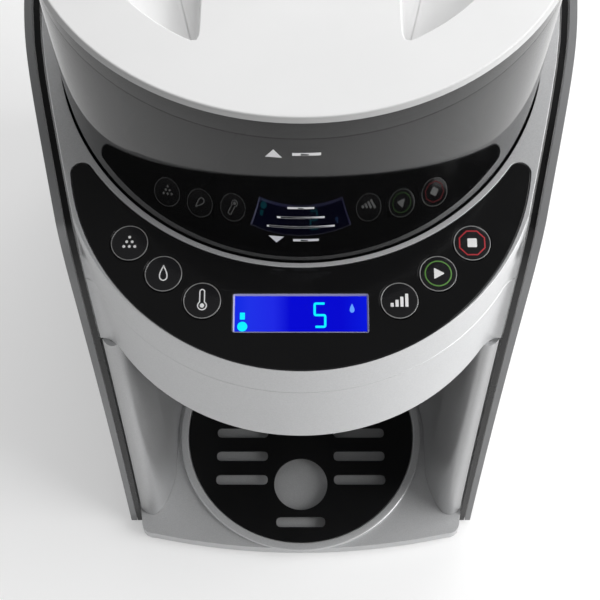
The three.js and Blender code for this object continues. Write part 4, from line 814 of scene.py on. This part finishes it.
def scoop_grid(sign):
    """Finger recess: its loop rolls in over a round edge, drops down a wall, and meets a floor that slopes up
    away from the bar, z = top - deep + slope (|x| - bar)."""
    recess, bar, edge = SCOOP["recess"], SCOOP["bar"], SCOOP["edge"]
    corner_y = math.sqrt(recess ** 2 - bar ** 2)
    end = math.atan2(corner_y, bar)
    arc = np.linspace(-end, end, STEPS["scoop_arc"])
    straight = np.linspace(corner_y, -corner_y, STEPS["scoop_bar"])[1:-1]
    outline = np.concatenate([np.column_stack([recess * np.cos(arc), recess * np.sin(arc)]),
                              np.column_stack([bar + 0 * straight, straight])])
    for _ in range(STEPS["scoop_passes"]):
        outline = (np.roll(outline, 1, axis=0) + 2 * outline + np.roll(outline, -1, axis=0)) / 4
    outline = counterclockwise(outline * [sign, 1.0])
    slope = (SCOOP["deep"] - SCOOP["shallow"]) / (recess - bar)

    def depth(points):
        return np.maximum(SCOOP["deep"] - slope * (np.abs(points[:, 0]) - bar), 0.0)

    def row(points, drop):
        return np.column_stack([points, LID["top"] - drop])

    rows = []
    for inset, fall in quarter_rings(edge)[::-1]:
        rows.append(row(offset(outline, -inset), np.full(len(outline), fall)))
    at_wall = depth(outline)
    fillet = np.minimum(SCOOP["fillet"], SCOOP["fillet_share"] * at_wall)
    for share in SCOOP["wall_shares"]:
        rows.append(row(outline, edge + share * (at_wall - fillet - edge)))
    for angle in np.linspace(0.0, math.pi / 2, STEPS["scoop_fillet"]):
        ring = shrink(outline, fillet * (1 - math.cos(angle)))
        fall = at_wall - fillet * (1 - math.sin(angle)) + (depth(ring) - at_wall) * math.sin(angle)
        rows.append(row(ring, fall))
    last = rows[-1][:, :2]
    for share in SCOOP["floor_shares"]:
        ring = last + (last.mean(axis=0) - last) * share
        rows.append(row(ring, depth(ring)))
    return np.stack(rows)


def lid_piece():
    """Lid: a turned underside and edge, a flat top, and the two finger recesses let into it."""
    ease = quarter_rings(LID["top_ease"], STEPS["lid_ease"])
    profile = np.concatenate([
        [(0.0, LID["well_bottom"]), (LID["well"] - LID["well_ease"], LID["well_bottom"]),
         (LID["well"], LID["well_bottom"] + LID["well_ease"]), (LID["well"], LID["seat"]),
         (LID["skirt_inner"], LID["seat"]), (LID["skirt_inner"], LID["skirt_bottom"]),
         (LID["skirt_outer"], LID["skirt_bottom"]), (LID["skirt_outer"], LID["groove_low"]),
         (LID["groove_inner"], LID["groove_low"]), (LID["groove_inner"], LID["groove_high"]),
         (LID["skirt_outer"], LID["groove_high"]), (LID["skirt_outer"], LID["seat"]),
         (LID["edge"] - LID["edge_ease"], LID["seat"]), (LID["edge"], LID["seat"] + LID["edge_ease"])],
        np.column_stack([LID["top_edge"] - ease[:, 0], LID["top"] - ease[:, 1]])])
    turned = lathe_grid(profile)
    scoops = [scoop_grid(1.0), scoop_grid(-1.0)]
    return even_normals(surface("lid", [turned] + scoops, caps=[[turned[-1], scoops[0][0], scoops[1][0]]]))


finish(hopper_shell(), SMOKED, "hopper", "hopper")
finish(lid_piece(), LID_WHITE_PAINTED_SHADE, "lid", "hopper_lid")


# The hopper's prints: a full and a low line with an arrow beside each, and three bars as (height, half width)

LEVEL = {"full": 362.0, "low": 302.7, "line_start": -3.0, "line_end": 7.0, "line_width": 1.7, "arrow_x": -9.5,
         "arrow_half": 3.0, "arrow_rise": 2.4, "bar_width": 1.3}
LEVEL_BARS = ((326.5, 5.0), (319.5, 9.0), (312.5, 13.0))


def hopper_mark(name, outline):
    """A print on the hopper's front: (arc length, height) wrapped round the wall a hair above it."""
    def wrap(points):
        across, height, rise = np.moveaxis(points, -1, 0)
        angle, radius = across / HOPPER["radius"], HOPPER["radius"] + rise
        return np.stack([radius * np.sin(angle), -radius * np.cos(angle), height], axis=-1)

    return finish(plate(name, counterclockwise(outline), [], *HOPPER_PRINT, place=wrap), MARK, "hopper")


def bar_outline(x0, x1, y, width):
    """A straight bar as an outline, with enough points to bend round the hopper."""
    along = np.linspace(x0, x1, STEPS["bar"])
    low = np.column_stack([along, y - width / 2 + 0 * along])
    high = np.column_stack([along[::-1], y + width / 2 + 0 * along])
    return np.concatenate([low, high])


for level, sign in (("full", 1.0), ("low", -1.0)):
    height, rise, middle = LEVEL[level], sign * LEVEL["arrow_rise"], LEVEL["arrow_x"]
    line = bar_outline(LEVEL["line_start"], LEVEL["line_end"], height, LEVEL["line_width"])
    hopper_mark(f"mark_{level}_line", line)
    hopper_mark(f"mark_{level}_arrow", np.array([(middle - LEVEL["arrow_half"], height - rise),
                                                 (middle + LEVEL["arrow_half"], height - rise),
                                                 (middle, height + rise)]))
for number, (height, half) in enumerate(LEVEL_BARS, 1):
    hopper_mark(f"mark_level_{number}", bar_outline(-half, half, height, LEVEL["bar_width"]))


# Head: collar, chin band and panel

def collar_piece():
    """Collar: the band above the seam, a shoulder that is a quarter of an ellipse and as broad as the panel's
    bed leaves room for, the deck with the hopper's hole, and the bed."""
    rows = [head_points(WALL, lambda y: deck_height(y) - DECK["thickness"])]
    for inset, rise in [(WALL, HEAD["seam_ease"]), (HEAD["seam_ease"], 0.0), (0.0, HEAD["seam_ease"])]:
        rows.append(head_points(inset, lambda y, r=rise: HEAD["seam"] + r + 0 * y))
    rows.append(head_points(0.0, lambda y: (HEAD["seam"] + deck_height(y)) / 2))
    wide = head_points(0.0, deck_height)
    narrow = head_points(HEAD["shoulder"], deck_height)
    slope_y = wide[:, 1] / math.cos(DECK["tilt"]) - PANEL["outer_s"]
    room = np.hypot(wide[:, 0], slope_y) - PANEL["outer"] - CLEARANCE - HEAD["rim"]
    breadth = np.clip(room, HEAD["rim"], HEAD["shoulder"]) / HEAD["shoulder"]
    for angle in np.linspace(0.0, math.pi / 2, STEPS["shoulder"]):
        row = wide + (narrow - wide) * (breadth * (1 - math.cos(angle)))[:, None]
        row[:, 2] = deck_height(row[:, 1]) - HEAD["shoulder_drop"] * (1 - math.sin(angle))
        rows.append(row)
    rim = edge_rings(-DECK["thickness"], 0.0, DECK["ease"])

    def on_plane(points):
        return np.column_stack([points[:, 0], points[:, 1], deck_height(points[:, 1]) + points[:, 2]])

    hole = np.stack([on_plane(row) for row in wall_grid(circle(HOPPER["hole"]), rim, outward=True)])
    bed = np.stack([on_deck(row) for row in wall_grid(crescent(-CLEARANCE), rim, outward=True)])
    return capped("collar", [np.stack(rows), hole, bed])


def chin_piece():
    """Chin band: the head's outline carried up, with an eased lower edge and a fine one at the seam."""
    low, high, inner = HEAD["bottom"], HEAD["seam"] - CLEARANCE, HEAD["inner_ease"]
    lower = quarter_rings(HEAD["chin_ease"], STEPS["chin_ease"])
    profile = [(WALL, low + inner), (WALL - inner, low)] + [(i, low + d) for i, d in lower[::-1]]
    profile += [(0.0, (low + high) / 2), (0.0, high - HEAD["seam_ease"]), (HEAD["seam_ease"], high),
                (WALL - inner, high), (WALL, high - inner)]
    rows = [head_points(inset, lambda y, z=height: z + 0 * y) for inset, height in profile]
    return even_normals(surface("chin_band", [np.stack(rows)], closed_rows=True))


finish(collar_piece(), SILVER, "machine", "top_collar")
finish(chin_piece(), SILVER, "machine", "head_shell")

button_holes = [circle(BUTTON["hole"], *button_place(name), count=SMALL_ROUND) for name in BUTTONS]
display_hole = rectangle(-DISPLAY["half"], DISPLAY["half"], DISPLAY["near"], DISPLAY["far"],
                         DISPLAY["corner"])
finish(plate("panel", crescent(0.0), button_holes + [display_hole], -PANEL["thickness"], 0.0, PANEL["ease"],
             place=on_deck), BLACK, "machine", "control_panel")


# Buttons, and their prints in millimetres about each button's middle

DOTS = {"radius": 0.62,
        "places": ((-2.2, -1.6), (0.0, -1.6), (2.2, -1.6), (-1.1, 0.4), (1.1, 0.4), (0.0, 2.4))}
DROP = {"half": 2.1, "power": 1.4, "rise": 0.2, "reach": 3.1, "line": 0.5}
GAUGE = {"stem_half": 0.95, "stem_top": 3.6, "bulb": 1.75, "bulb_y": -2.2, "core": 0.9, "line": 0.45}
BARS = {"left": -3.6, "pitch": 1.95, "width": 1.25, "foot": -2.7, "heights": (1.6, 2.9, 4.2, 5.5),
        "corner": 0.2}
START = {"outer": 5.5, "inner": 4.95, "corners": ((-1.7, -2.4), (2.6, 0.0), (-1.7, 2.4)), "ease": 0.5}
STOP = {"radius": 5.5, "line": 0.55, "sides": 8, "half": 1.9, "ease": 0.4}


def dome_height(share):
    """A button's face at a share of its dome's radius: dome (1 - fall share^2)."""
    return BUTTON["dome"] * (1 - share ** 2 * BUTTON["fall_share"])


def button_piece(name):
    """Button: a shallow dome on a flanged stem, and a silver ring printed round the dome."""
    body, x, s = BUTTONS[name][0], *button_place(name)
    share = np.linspace(0.0, 1.0, STEPS["dome"])
    radius = BUTTON["radius"]
    profile = np.concatenate([
        np.column_stack([BUTTON["dome_share"] * radius * share, dome_height(share)]),
        [(radius - BUTTON["lip"], BUTTON["lip_top"]), (radius, BUTTON["lip_low"]),
         (radius, BUTTON["flange_top"]), (BUTTON["flange"], BUTTON["flange_top"]),
         (BUTTON["flange"], BUTTON["flange_low"]), (BUTTON["stem"], BUTTON["flange_low"]),
         (BUTTON["stem"], BUTTON["stem_low"]), (0.0, BUTTON["stem_low"])]])
    finish(surface(name + "_cap", [lathe_grid(profile, x, s, SMALL_ROUND)], place=on_deck), KEY, body, name)
    outer, inner = (circle(BUTTON[edge], x, s, SMALL_ROUND) for edge in ("ring_outer", "ring_inner"))
    ring = plate(name + "_ring", outer, [inner], BUTTON["ring_low"], BUTTON["ring_top"], BUTTON["ring_ease"],
                 place=on_deck)
    return finish(ring, RING, body)


def button_mark(name, button, outline, holes=(), paint=MARK):
    """A print that lies on a button's dome."""
    x, s = button_place(button)

    def drape(points):
        across, along, rise = np.moveaxis(points, -1, 0)
        height = dome_height(np.hypot(across, along) / (BUTTON["dome_share"] * BUTTON["radius"]))
        return on_deck(np.stack([x + across, s + along, height + rise], axis=-1))

    return finish(plate(name, outline, holes, *BUTTON_PRINT, place=drape), paint, BUTTONS[button][0])


def line_mark(name, button, path, width, paint=MARK):
    """A closed line on a button."""
    outer, inner = ribbon(path, width, closed=True)
    return button_mark(name, button, outer, [inner], paint)


for name in BUTTONS:
    button_piece(name)

for number, (x, y) in enumerate(DOTS["places"], 1):
    button_mark(f"mark_powder_{number}", "button_dose", circle(DOTS["radius"], x, y, DOT_ROUND))

# The drop's outline is (half sin a sin(a / 2)^power, rise + reach cos a), pointed at its top
angle = np.linspace(0.0, FULL_TURN, STEPS["drop"], endpoint=False)[1:]
drop_path = np.column_stack([DROP["half"] * np.sin(angle) * np.sin(angle / 2) ** DROP["power"],
                             DROP["rise"] + DROP["reach"] * np.cos(angle)])
line_mark("mark_drop", "button_water", drop_path, DROP["line"])

bulb_start = math.asin(GAUGE["stem_half"] / GAUGE["bulb"])
bulb_angle = np.linspace(math.pi / 2 - bulb_start, -3 * math.pi / 2 + bulb_start, STEPS["bulb"])
cap_angle = np.linspace(math.pi, 0.0, STEPS["stem_cap"])
bulb = GAUGE["bulb"] * np.column_stack([np.cos(bulb_angle), np.sin(bulb_angle)])
cap = GAUGE["stem_half"] * np.column_stack([np.cos(cap_angle), np.sin(cap_angle)])
gauge_path = np.concatenate([bulb + [0.0, GAUGE["bulb_y"]], cap + [0.0, GAUGE["stem_top"]]])
line_mark("mark_heat", "button_heat", gauge_path, GAUGE["line"])
button_mark("mark_heat_core", "button_heat", circle(GAUGE["core"], 0.0, GAUGE["bulb_y"], STEPS["core"]))

for number, height in enumerate(BARS["heights"]):
    left = BARS["left"] + BARS["pitch"] * number
    button_mark(f"mark_amount_{number + 1}", "button_amount",
                rectangle(left, left + BARS["width"], BARS["foot"], BARS["foot"] + height, BARS["corner"]))

start_outer, start_inner = (circle(START[edge])[::STEPS["start_ring"]] for edge in ("outer", "inner"))
button_mark("mark_start_ring", "button_start", start_outer, [start_inner], MARK_GREEN)
button_mark("mark_start", "button_start", eased(START["corners"], START["ease"]))

angle = (np.arange(STOP["sides"]) + 0.5) * FULL_TURN / STOP["sides"]
octagon = STOP["radius"] * np.column_stack([np.cos(angle), np.sin(angle)])
line_mark("mark_stop_ring", "button_stop", octagon, STOP["line"], MARK_RED)
button_mark("mark_stop", "button_stop",
            rectangle(-STOP["half"], STOP["half"], -STOP["half"], STOP["half"], STOP["ease"]))


# Display: a frosted frame round a lit screen, with a digit, a thermometer and a drop on it

DIGIT = {"x": 7.6, "half": 2.1, "low": -131.3, "high": -121.6, "width": 0.95, "ease": 0.7, "short_top": 0.2,
         "short_foot": 0.3}
GLYPH = {"bulb": 2.0, "bulb_x": -23.2, "bulb_y": -131.2, "stem": (-24.2, -22.2, -128.3, -125.4),
         "stem_ease": 0.3, "drop": (20.4, -123.6), "drop_scale": 0.62}
screen_face = -DISPLAY["recess"] - DISPLAY["screen_drop"]


def display_frame():
    """Frame: an eased rectangle whose face falls inwards from the panel to the screen."""
    rows = [(0.0, -PANEL["thickness"]), (0.0, -DISPLAY["lip_low"]), (DISPLAY["lip_in"], -DISPLAY["lip_top"]),
            (DISPLAY["bevel"], -DISPLAY["recess"]), (DISPLAY["bevel"], -PANEL["thickness"])]
    outline = offset(display_hole, CLEARANCE / 3)
    return surface("display_frame", [wall_grid(outline, rows)], closed_rows=True, place=on_deck)


def screen_piece():
    """Screen: an eased slab a gap inside the display's hole."""
    gap = DISPLAY["screen_gap"]
    outline = rectangle(-DISPLAY["half"] + gap, DISPLAY["half"] - gap, DISPLAY["near"] + gap,
                        DISPLAY["far"] - gap, DISPLAY["screen_corner"])
    return plate("screen", outline, [], -DECK["thickness"], screen_face, DISPLAY["screen_ease"],
                 place=on_deck)


def screen_mark(name, outline, paint):
    """A lit shape just above the screen."""
    low, high, ease = SCREEN_PRINT
    piece = plate(name, outline, [], screen_face + low, screen_face + high, ease, place=on_deck)
    return finish(piece, paint, "machine")


def stroke(points):
    """A line through corner points, with each corner eased into a parabola."""
    path = [points[0]]
    t = np.linspace(0.0, 1.0, STEPS["stroke_corner"])[:, None]
    for before, corner, after in zip(points[:-2], points[1:-1], points[2:]):
        start = corner + (before - corner) / np.linalg.norm(before - corner) * DIGIT["ease"]
        end = corner + (after - corner) / np.linalg.norm(after - corner) * DIGIT["ease"]
        path += list(parabola(t, start, corner, end))
    return np.array(path + [points[-1]])


finish(display_frame(), BEZEL, "machine")
finish(screen_piece(), SCREEN, "machine", "display_window")
middle = (DIGIT["low"] + DIGIT["high"]) / 2
left, right = DIGIT["x"] - DIGIT["half"], DIGIT["x"] + DIGIT["half"]
five = np.array([(right - DIGIT["short_top"], DIGIT["high"]), (left, DIGIT["high"]), (left, middle),
                 (right, middle), (right, DIGIT["low"]), (left + DIGIT["short_foot"], DIGIT["low"])])
screen_mark("digit_five", ribbon(stroke(five), DIGIT["width"])[0], CYAN)
screen_mark("screen_bulb", circle(GLYPH["bulb"], GLYPH["bulb_x"], GLYPH["bulb_y"], STEPS["screen_bulb"]),
            CYAN)
screen_mark("screen_stem", rectangle(*GLYPH["stem"], GLYPH["stem_ease"]), CYAN)
screen_mark("screen_drop", counterclockwise(drop_path * GLYPH["drop_scale"] + GLYPH["drop"]), CYAN_DIM)


# Sides, bay and base

def side_piece(name, sign):
    """Outer side: the hyperbola's sheet between its leaning front edge and its straight back, edges eased."""
    corner = np.sin(np.linspace(0.0, math.pi / 2, STEPS["side_corner"])[1:])
    lower = np.linspace(0.0, SIDE["corner_share"], STEPS["side_lower"])
    rows = []
    for level in np.concatenate([lower, SIDE["corner_share"] + (1 - SIDE["corner_share"]) * corner]):
        front = side_front(level)
        y = front + (SIDE["back"] - front) * np.linspace(0.0, 1.0, STEPS["side_length"])
        z = SIDE["bottom"] + (deck_height(y) + SIDE["rim_rise"] - SIDE["bottom"]) * level
        outer = np.column_stack([half_width(y, z, 0.0), y, z])
        inner = np.column_stack([half_width(y, z, SIDE["thickness"]), y, z])[::-1]
        rows.append(np.concatenate([outer, inner]) * [sign, 1.0, 1.0])
    piece = surface(name, [np.stack(rows)], caps=[[rows[0]], [rows[-1]]])
    return bevelled(piece, SIDE["ease"], EASE_STEPS, SIDE_ANGLE)


def bay_path(z):
    """The liner's face at a height: a half circle behind the bottle that flows into a parabola round each
    pillar's front."""
    front = side_front_at(z)
    back = np.linspace(0.0, math.pi / 2, STEPS["bay_back"])
    t = np.linspace(1.0, 0.0, STEPS["pillar"])[:, None]
    arc = np.column_stack([BAY["radius"] * np.sin(back), BAY["y"] + BAY["radius"] * np.cos(back)])
    first = np.array([half_width(front, z, BODY_INSET), front + PILLAR["setback"]])
    middle = np.array([BAY["radius"] + PILLAR["shoulder"], front - PILLAR["bulge"]])
    last = np.array([BAY["radius"], front + PILLAR["depth"]])
    half = np.concatenate([arc, parabola(t, first, middle, last)])
    return np.concatenate([(half * [-1.0, 1.0])[:0:-1], half])


def walled(path):
    """The loop round a wall that stands behind a path, one wall's thickness along its normals."""
    return np.concatenate([path, (path + BAY["wall"] * path_normals(path))[::-1]])


def bay_piece():
    """Bay liner: its wall's loops, stacked up."""
    heights = np.linspace(BAY["bottom"], BAY["top"], STEPS["bay_rows"])
    loops = [walled(bay_path(z)) for z in heights]
    rows = [np.column_stack([loop, np.full(len(loop), z)]) for loop, z in zip(loops, heights)]
    return capped("bay", [np.stack(rows)])


def pillar_top(name, sign):
    """A thin silver cap on the wall's end where a pillar's top looks out from under the head."""
    loop = walled(bay_path(BAY["top"])[-STEPS["pillar"]:]) * [sign, 1.0]
    return plate(name, counterclockwise(loop), [], BAY["top"] - BAY["cap"], BAY["top"] + BAY["cap_rise"],
                 BAY["cap_ease"])


def tray_piece():
    """Tray: a tub under a flat ring whose edges are rounded, turned about the bay's middle."""
    inner, floor = TRAY["tub"] - TRAY["wall"], TRAY["bottom"] + TRAY["wall"]
    corners = [(0.0, TRAY["bottom"]), (TRAY["tub"], TRAY["bottom"]), (TRAY["tub"], TRAY["ring_low"]),
               (TRAY["ring"], TRAY["ring_low"]), (TRAY["ring"], TRAY["ring_top"]),
               (TRAY["seat"], TRAY["ring_top"]), (TRAY["seat"], TRAY["ledge"]), (inner, TRAY["ledge"]),
               (inner, floor), (0.0, floor)]
    return surface("tray", [lathe_grid(eased(corners, TRAY["eases"]), 0.0, BAY["y"])])


def grate_piece():
    """Grate: a disc with a finger hole and rows of rounded slots."""
    def slot(x0, x1, y):
        half = GRATE["slot_half"]
        return rectangle(x0, x1, y - half, y + half, GRATE["corner_share"] * half, STEPS["slot_corner"])

    holes = [circle(GRATE["finger"], 0.0, GRATE["finger_y"], MIDDLE_ROUND)]
    for row in range(GRATE["rows"]):
        y = BAY["y"] + (row - (GRATE["rows"] - 1) / 2) * GRATE["pitch"]
        holes += [slot(GRATE["start"], GRATE["end"], y), slot(-GRATE["end"], -GRATE["start"], y)]
    holes.append(slot(-GRATE["front_half"], GRATE["front_half"], GRATE["front_y"]))
    return plate("grate", circle(GRATE["radius"], 0.0, BAY["y"]), holes, GRATE["low"], GRATE["high"],
                 GRATE["ease"])


# The sides are hidden from mirror reflections, because the photograph's tub doesn't show them
for side_name, sign in (("right", 1.0), ("left", -1.0)):
    side = finish(side_piece("side_" + side_name, sign), GREY, "machine", "side_panel_" + side_name)
    side.visible_glossy = False
    finish(pillar_top("pillar_top_" + side_name, sign), SILVER, "machine")
# The bay liner takes the darkened silver, which is painted shade.
finish(bay_piece(), SILVER_BAY_PAINTED_SHADE, "machine", "bay_liner")
finish(tray_piece(), SILVER, "tray", "bottle_tray")
finish(grate_piece(), GRATE_BLACK, "grate", "drip_grate")

# These keep their solids' form with eased edges. The strips are hidden from reflections as the sides are
REFINED = {
    "base_shell": (SILVER, 0.9), "bottom_plate": (DARK, 0.3), "head_floor": (DARK, 0.3),
    "trim_strip_right": (STRIP, 0.5), "trim_strip_left": (STRIP, 0.5), "rear_cover": (SILVER, 0.7),
    "water_tank": (CLEAR, 0.5), "tank_lid": (DARK, 0.6), "tank_hinge_pin": (STEEL, 0.2),
    "drawer_rails": (DARK, 0.4), "funnel_drawer": (DARK, 0.5), "funnel": (CLEAR, 0.3),
    "water_nozzle": (STEEL, 0.3), "powder_chute": (WHITE, 0.3), "powder_wheel": (WHITE, 0.4),
    "powder_guard": (WHITE, 0.4), "stirrer": (WHITE, 0.6), "power_inlet": (DARK, 0.3),
    "power_switch": (DARK, 0.3), "power_rocker": (BLACK, 0.6), "foot_front_right": (RUBBER, 0.5),
    "foot_front_left": (RUBBER, 0.5), "foot_rear_right": (RUBBER, 0.5), "foot_rear_left": (RUBBER, 0.5),
    "base_screw_right": (STEEL, 0.2), "base_screw_left": (STEEL, 0.2), "base_screw_rear": (STEEL, 0.2),
}
for node, (look, width) in REFINED.items():
    piece = finish(refined(node, width), look, BODY_OF[node], node)
    if look is STRIP:
        piece.visible_glossy = False

# Inner pieces that stay as they are and only get their finish
INNER = {
    "display_module": STEEL, "panel_circuit_board": BOARD, "key_membrane": SILICONE, "hopper_dock": DARK,
    "powder_motor": STEEL, "drive_shaft": STEEL, "lid_gasket": SILICONE, "tank_valve": SILICONE,
    "tank_dock": DARK, "water_pump": DARK, "heater": STEEL, "inlet_hose": SILICONE, "pump_hose": SILICONE,
    "heater_hose": SILICONE, "main_circuit_board": BOARD, "wire_harness": RUBBER,
}
for node, look in INNER.items():
    data = frame["nodes"][node].data
    data.materials.clear()
    data.materials.append(look)


# Floor, lamps and world. Places and sizes are in plan millimetres

FLOOR = {"half": 3000.0, "colour": (0.68, 0.68, 0.68), "patch": (0.675, 0.675, 0.675), "roughness": 0.9,
         "specular": 0.1, "near": 700.0, "far": 2200.0, "near_glow": 0.3, "mirrored_glow": 0.15}
AIM = (0.0, 0.0, 200.0)
LAMPS = {"right_softbox": {"place": (1300.0, -220.0, 800.0), "size": 1300.0, "power": 27.0},
         "back_softbox": {"place": (300.0, 1300.0, 1300.0), "size": 1300.0, "power": 12.0}}
WORLD = {"fill": 0.46, "rise": (0.35, 0.9), "mirrored": (0.8, 0.12)}


def floor_piece():
    """Floor: one flat square that keeps the object's shadow. To the camera it glows, and more so farther
    away, until it is plain white, and to gloss it glows a little."""
    half = FLOOR["half"]
    points = to_frame([(-half, -half, 0.0), (half, -half, 0.0), (half, half, 0.0), (-half, half, 0.0)])
    mesh = bpy.data.meshes.new("floor")
    mesh.from_pydata(points.tolist(), [], [(0, 1, 2, 3)])
    floor = linked("floor", mesh)
    made, tree, shader = material("floor_pale")
    skin = placed(tree, MOULDED, {"Color": full(FLOOR["colour"]), "Patch Color": full(FLOOR["patch"]),
                                  "Roughness": FLOOR["roughness"]})
    ray = tree.nodes.new("ShaderNodeLightPath").outputs
    away = added(tree, "VectorMath", {0: place_on_piece(tree)}, operation="LENGTH")
    band = (FLOOR["near"] * MILLIMETRE, FLOOR["far"] * MILLIMETRE)
    seen = mapped_range(tree, away.outputs["Value"], band, (FLOOR["near_glow"], 1.0))
    mirrored = mapped_range(tree, ray["Is Glossy Ray"], UNIT, (0.0, FLOOR["mirrored_glow"]))
    glow = mapped_range(tree, ray["Is Camera Ray"], UNIT, (mirrored, seen))
    feed(tree, shader, {"Base Color": skin["Color"], "Roughness": skin["Roughness"],
                        "Specular IOR Level": FLOOR["specular"], "Emission Color": PURE_WHITE,
                        "Emission Strength": glow})
    mesh.materials.append(made)
    return floor


def lamp(name, place, size, power):
    """A square soft light that is turned to the aim."""
    data = bpy.data.lights.new(name, "AREA")
    data.shape = "SQUARE"
    data.size = size * MILLIMETRE
    data.energy = power
    light = linked(name, data)
    start, end = Vector(to_frame(place).tolist()), Vector(to_frame(AIM).tolist())
    light.location = start
    light.rotation_euler = (end - start).to_track_quat("-Z", "Y").to_euler()
    return light


def studio_world():
    """World: a dark ceiling and bright walls to gloss, plain white to the camera and through clear plastic,
    and an even fill to all else."""
    world = bpy.data.worlds.new("studio")
    world.use_nodes = True
    bpy.context.scene.world = world
    tree = world.node_tree
    background = next(node for node in tree.nodes if node.type == "BACKGROUND")
    ray = tree.nodes.new("ShaderNodeLightPath").outputs
    direction = tree.nodes.new("ShaderNodeTexCoord")
    upwards = added(tree, "SeparateXYZ", {"Vector": direction.outputs["Generated"]})
    mirrored = mapped_range(tree, upwards.outputs["Z"], WORLD["rise"], WORLD["mirrored"])
    lit = mapped_range(tree, ray["Is Glossy Ray"], UNIT, (WORLD["fill"], mirrored))
    seen = added(tree, "Math", {0: ray["Is Camera Ray"], 1: ray["Is Transmission Ray"]}, operation="MAXIMUM")
    feed(tree, background, {"Color": PURE_WHITE,
                            "Strength": mapped_range(tree, seen.outputs["Value"], UNIT, (lit, 1.0))})
    return world


floor_piece()
for name, values in LAMPS.items():
    lamp(name, **values)
studio_world()

bpy.context.scene.view_settings.view_transform = "Standard"
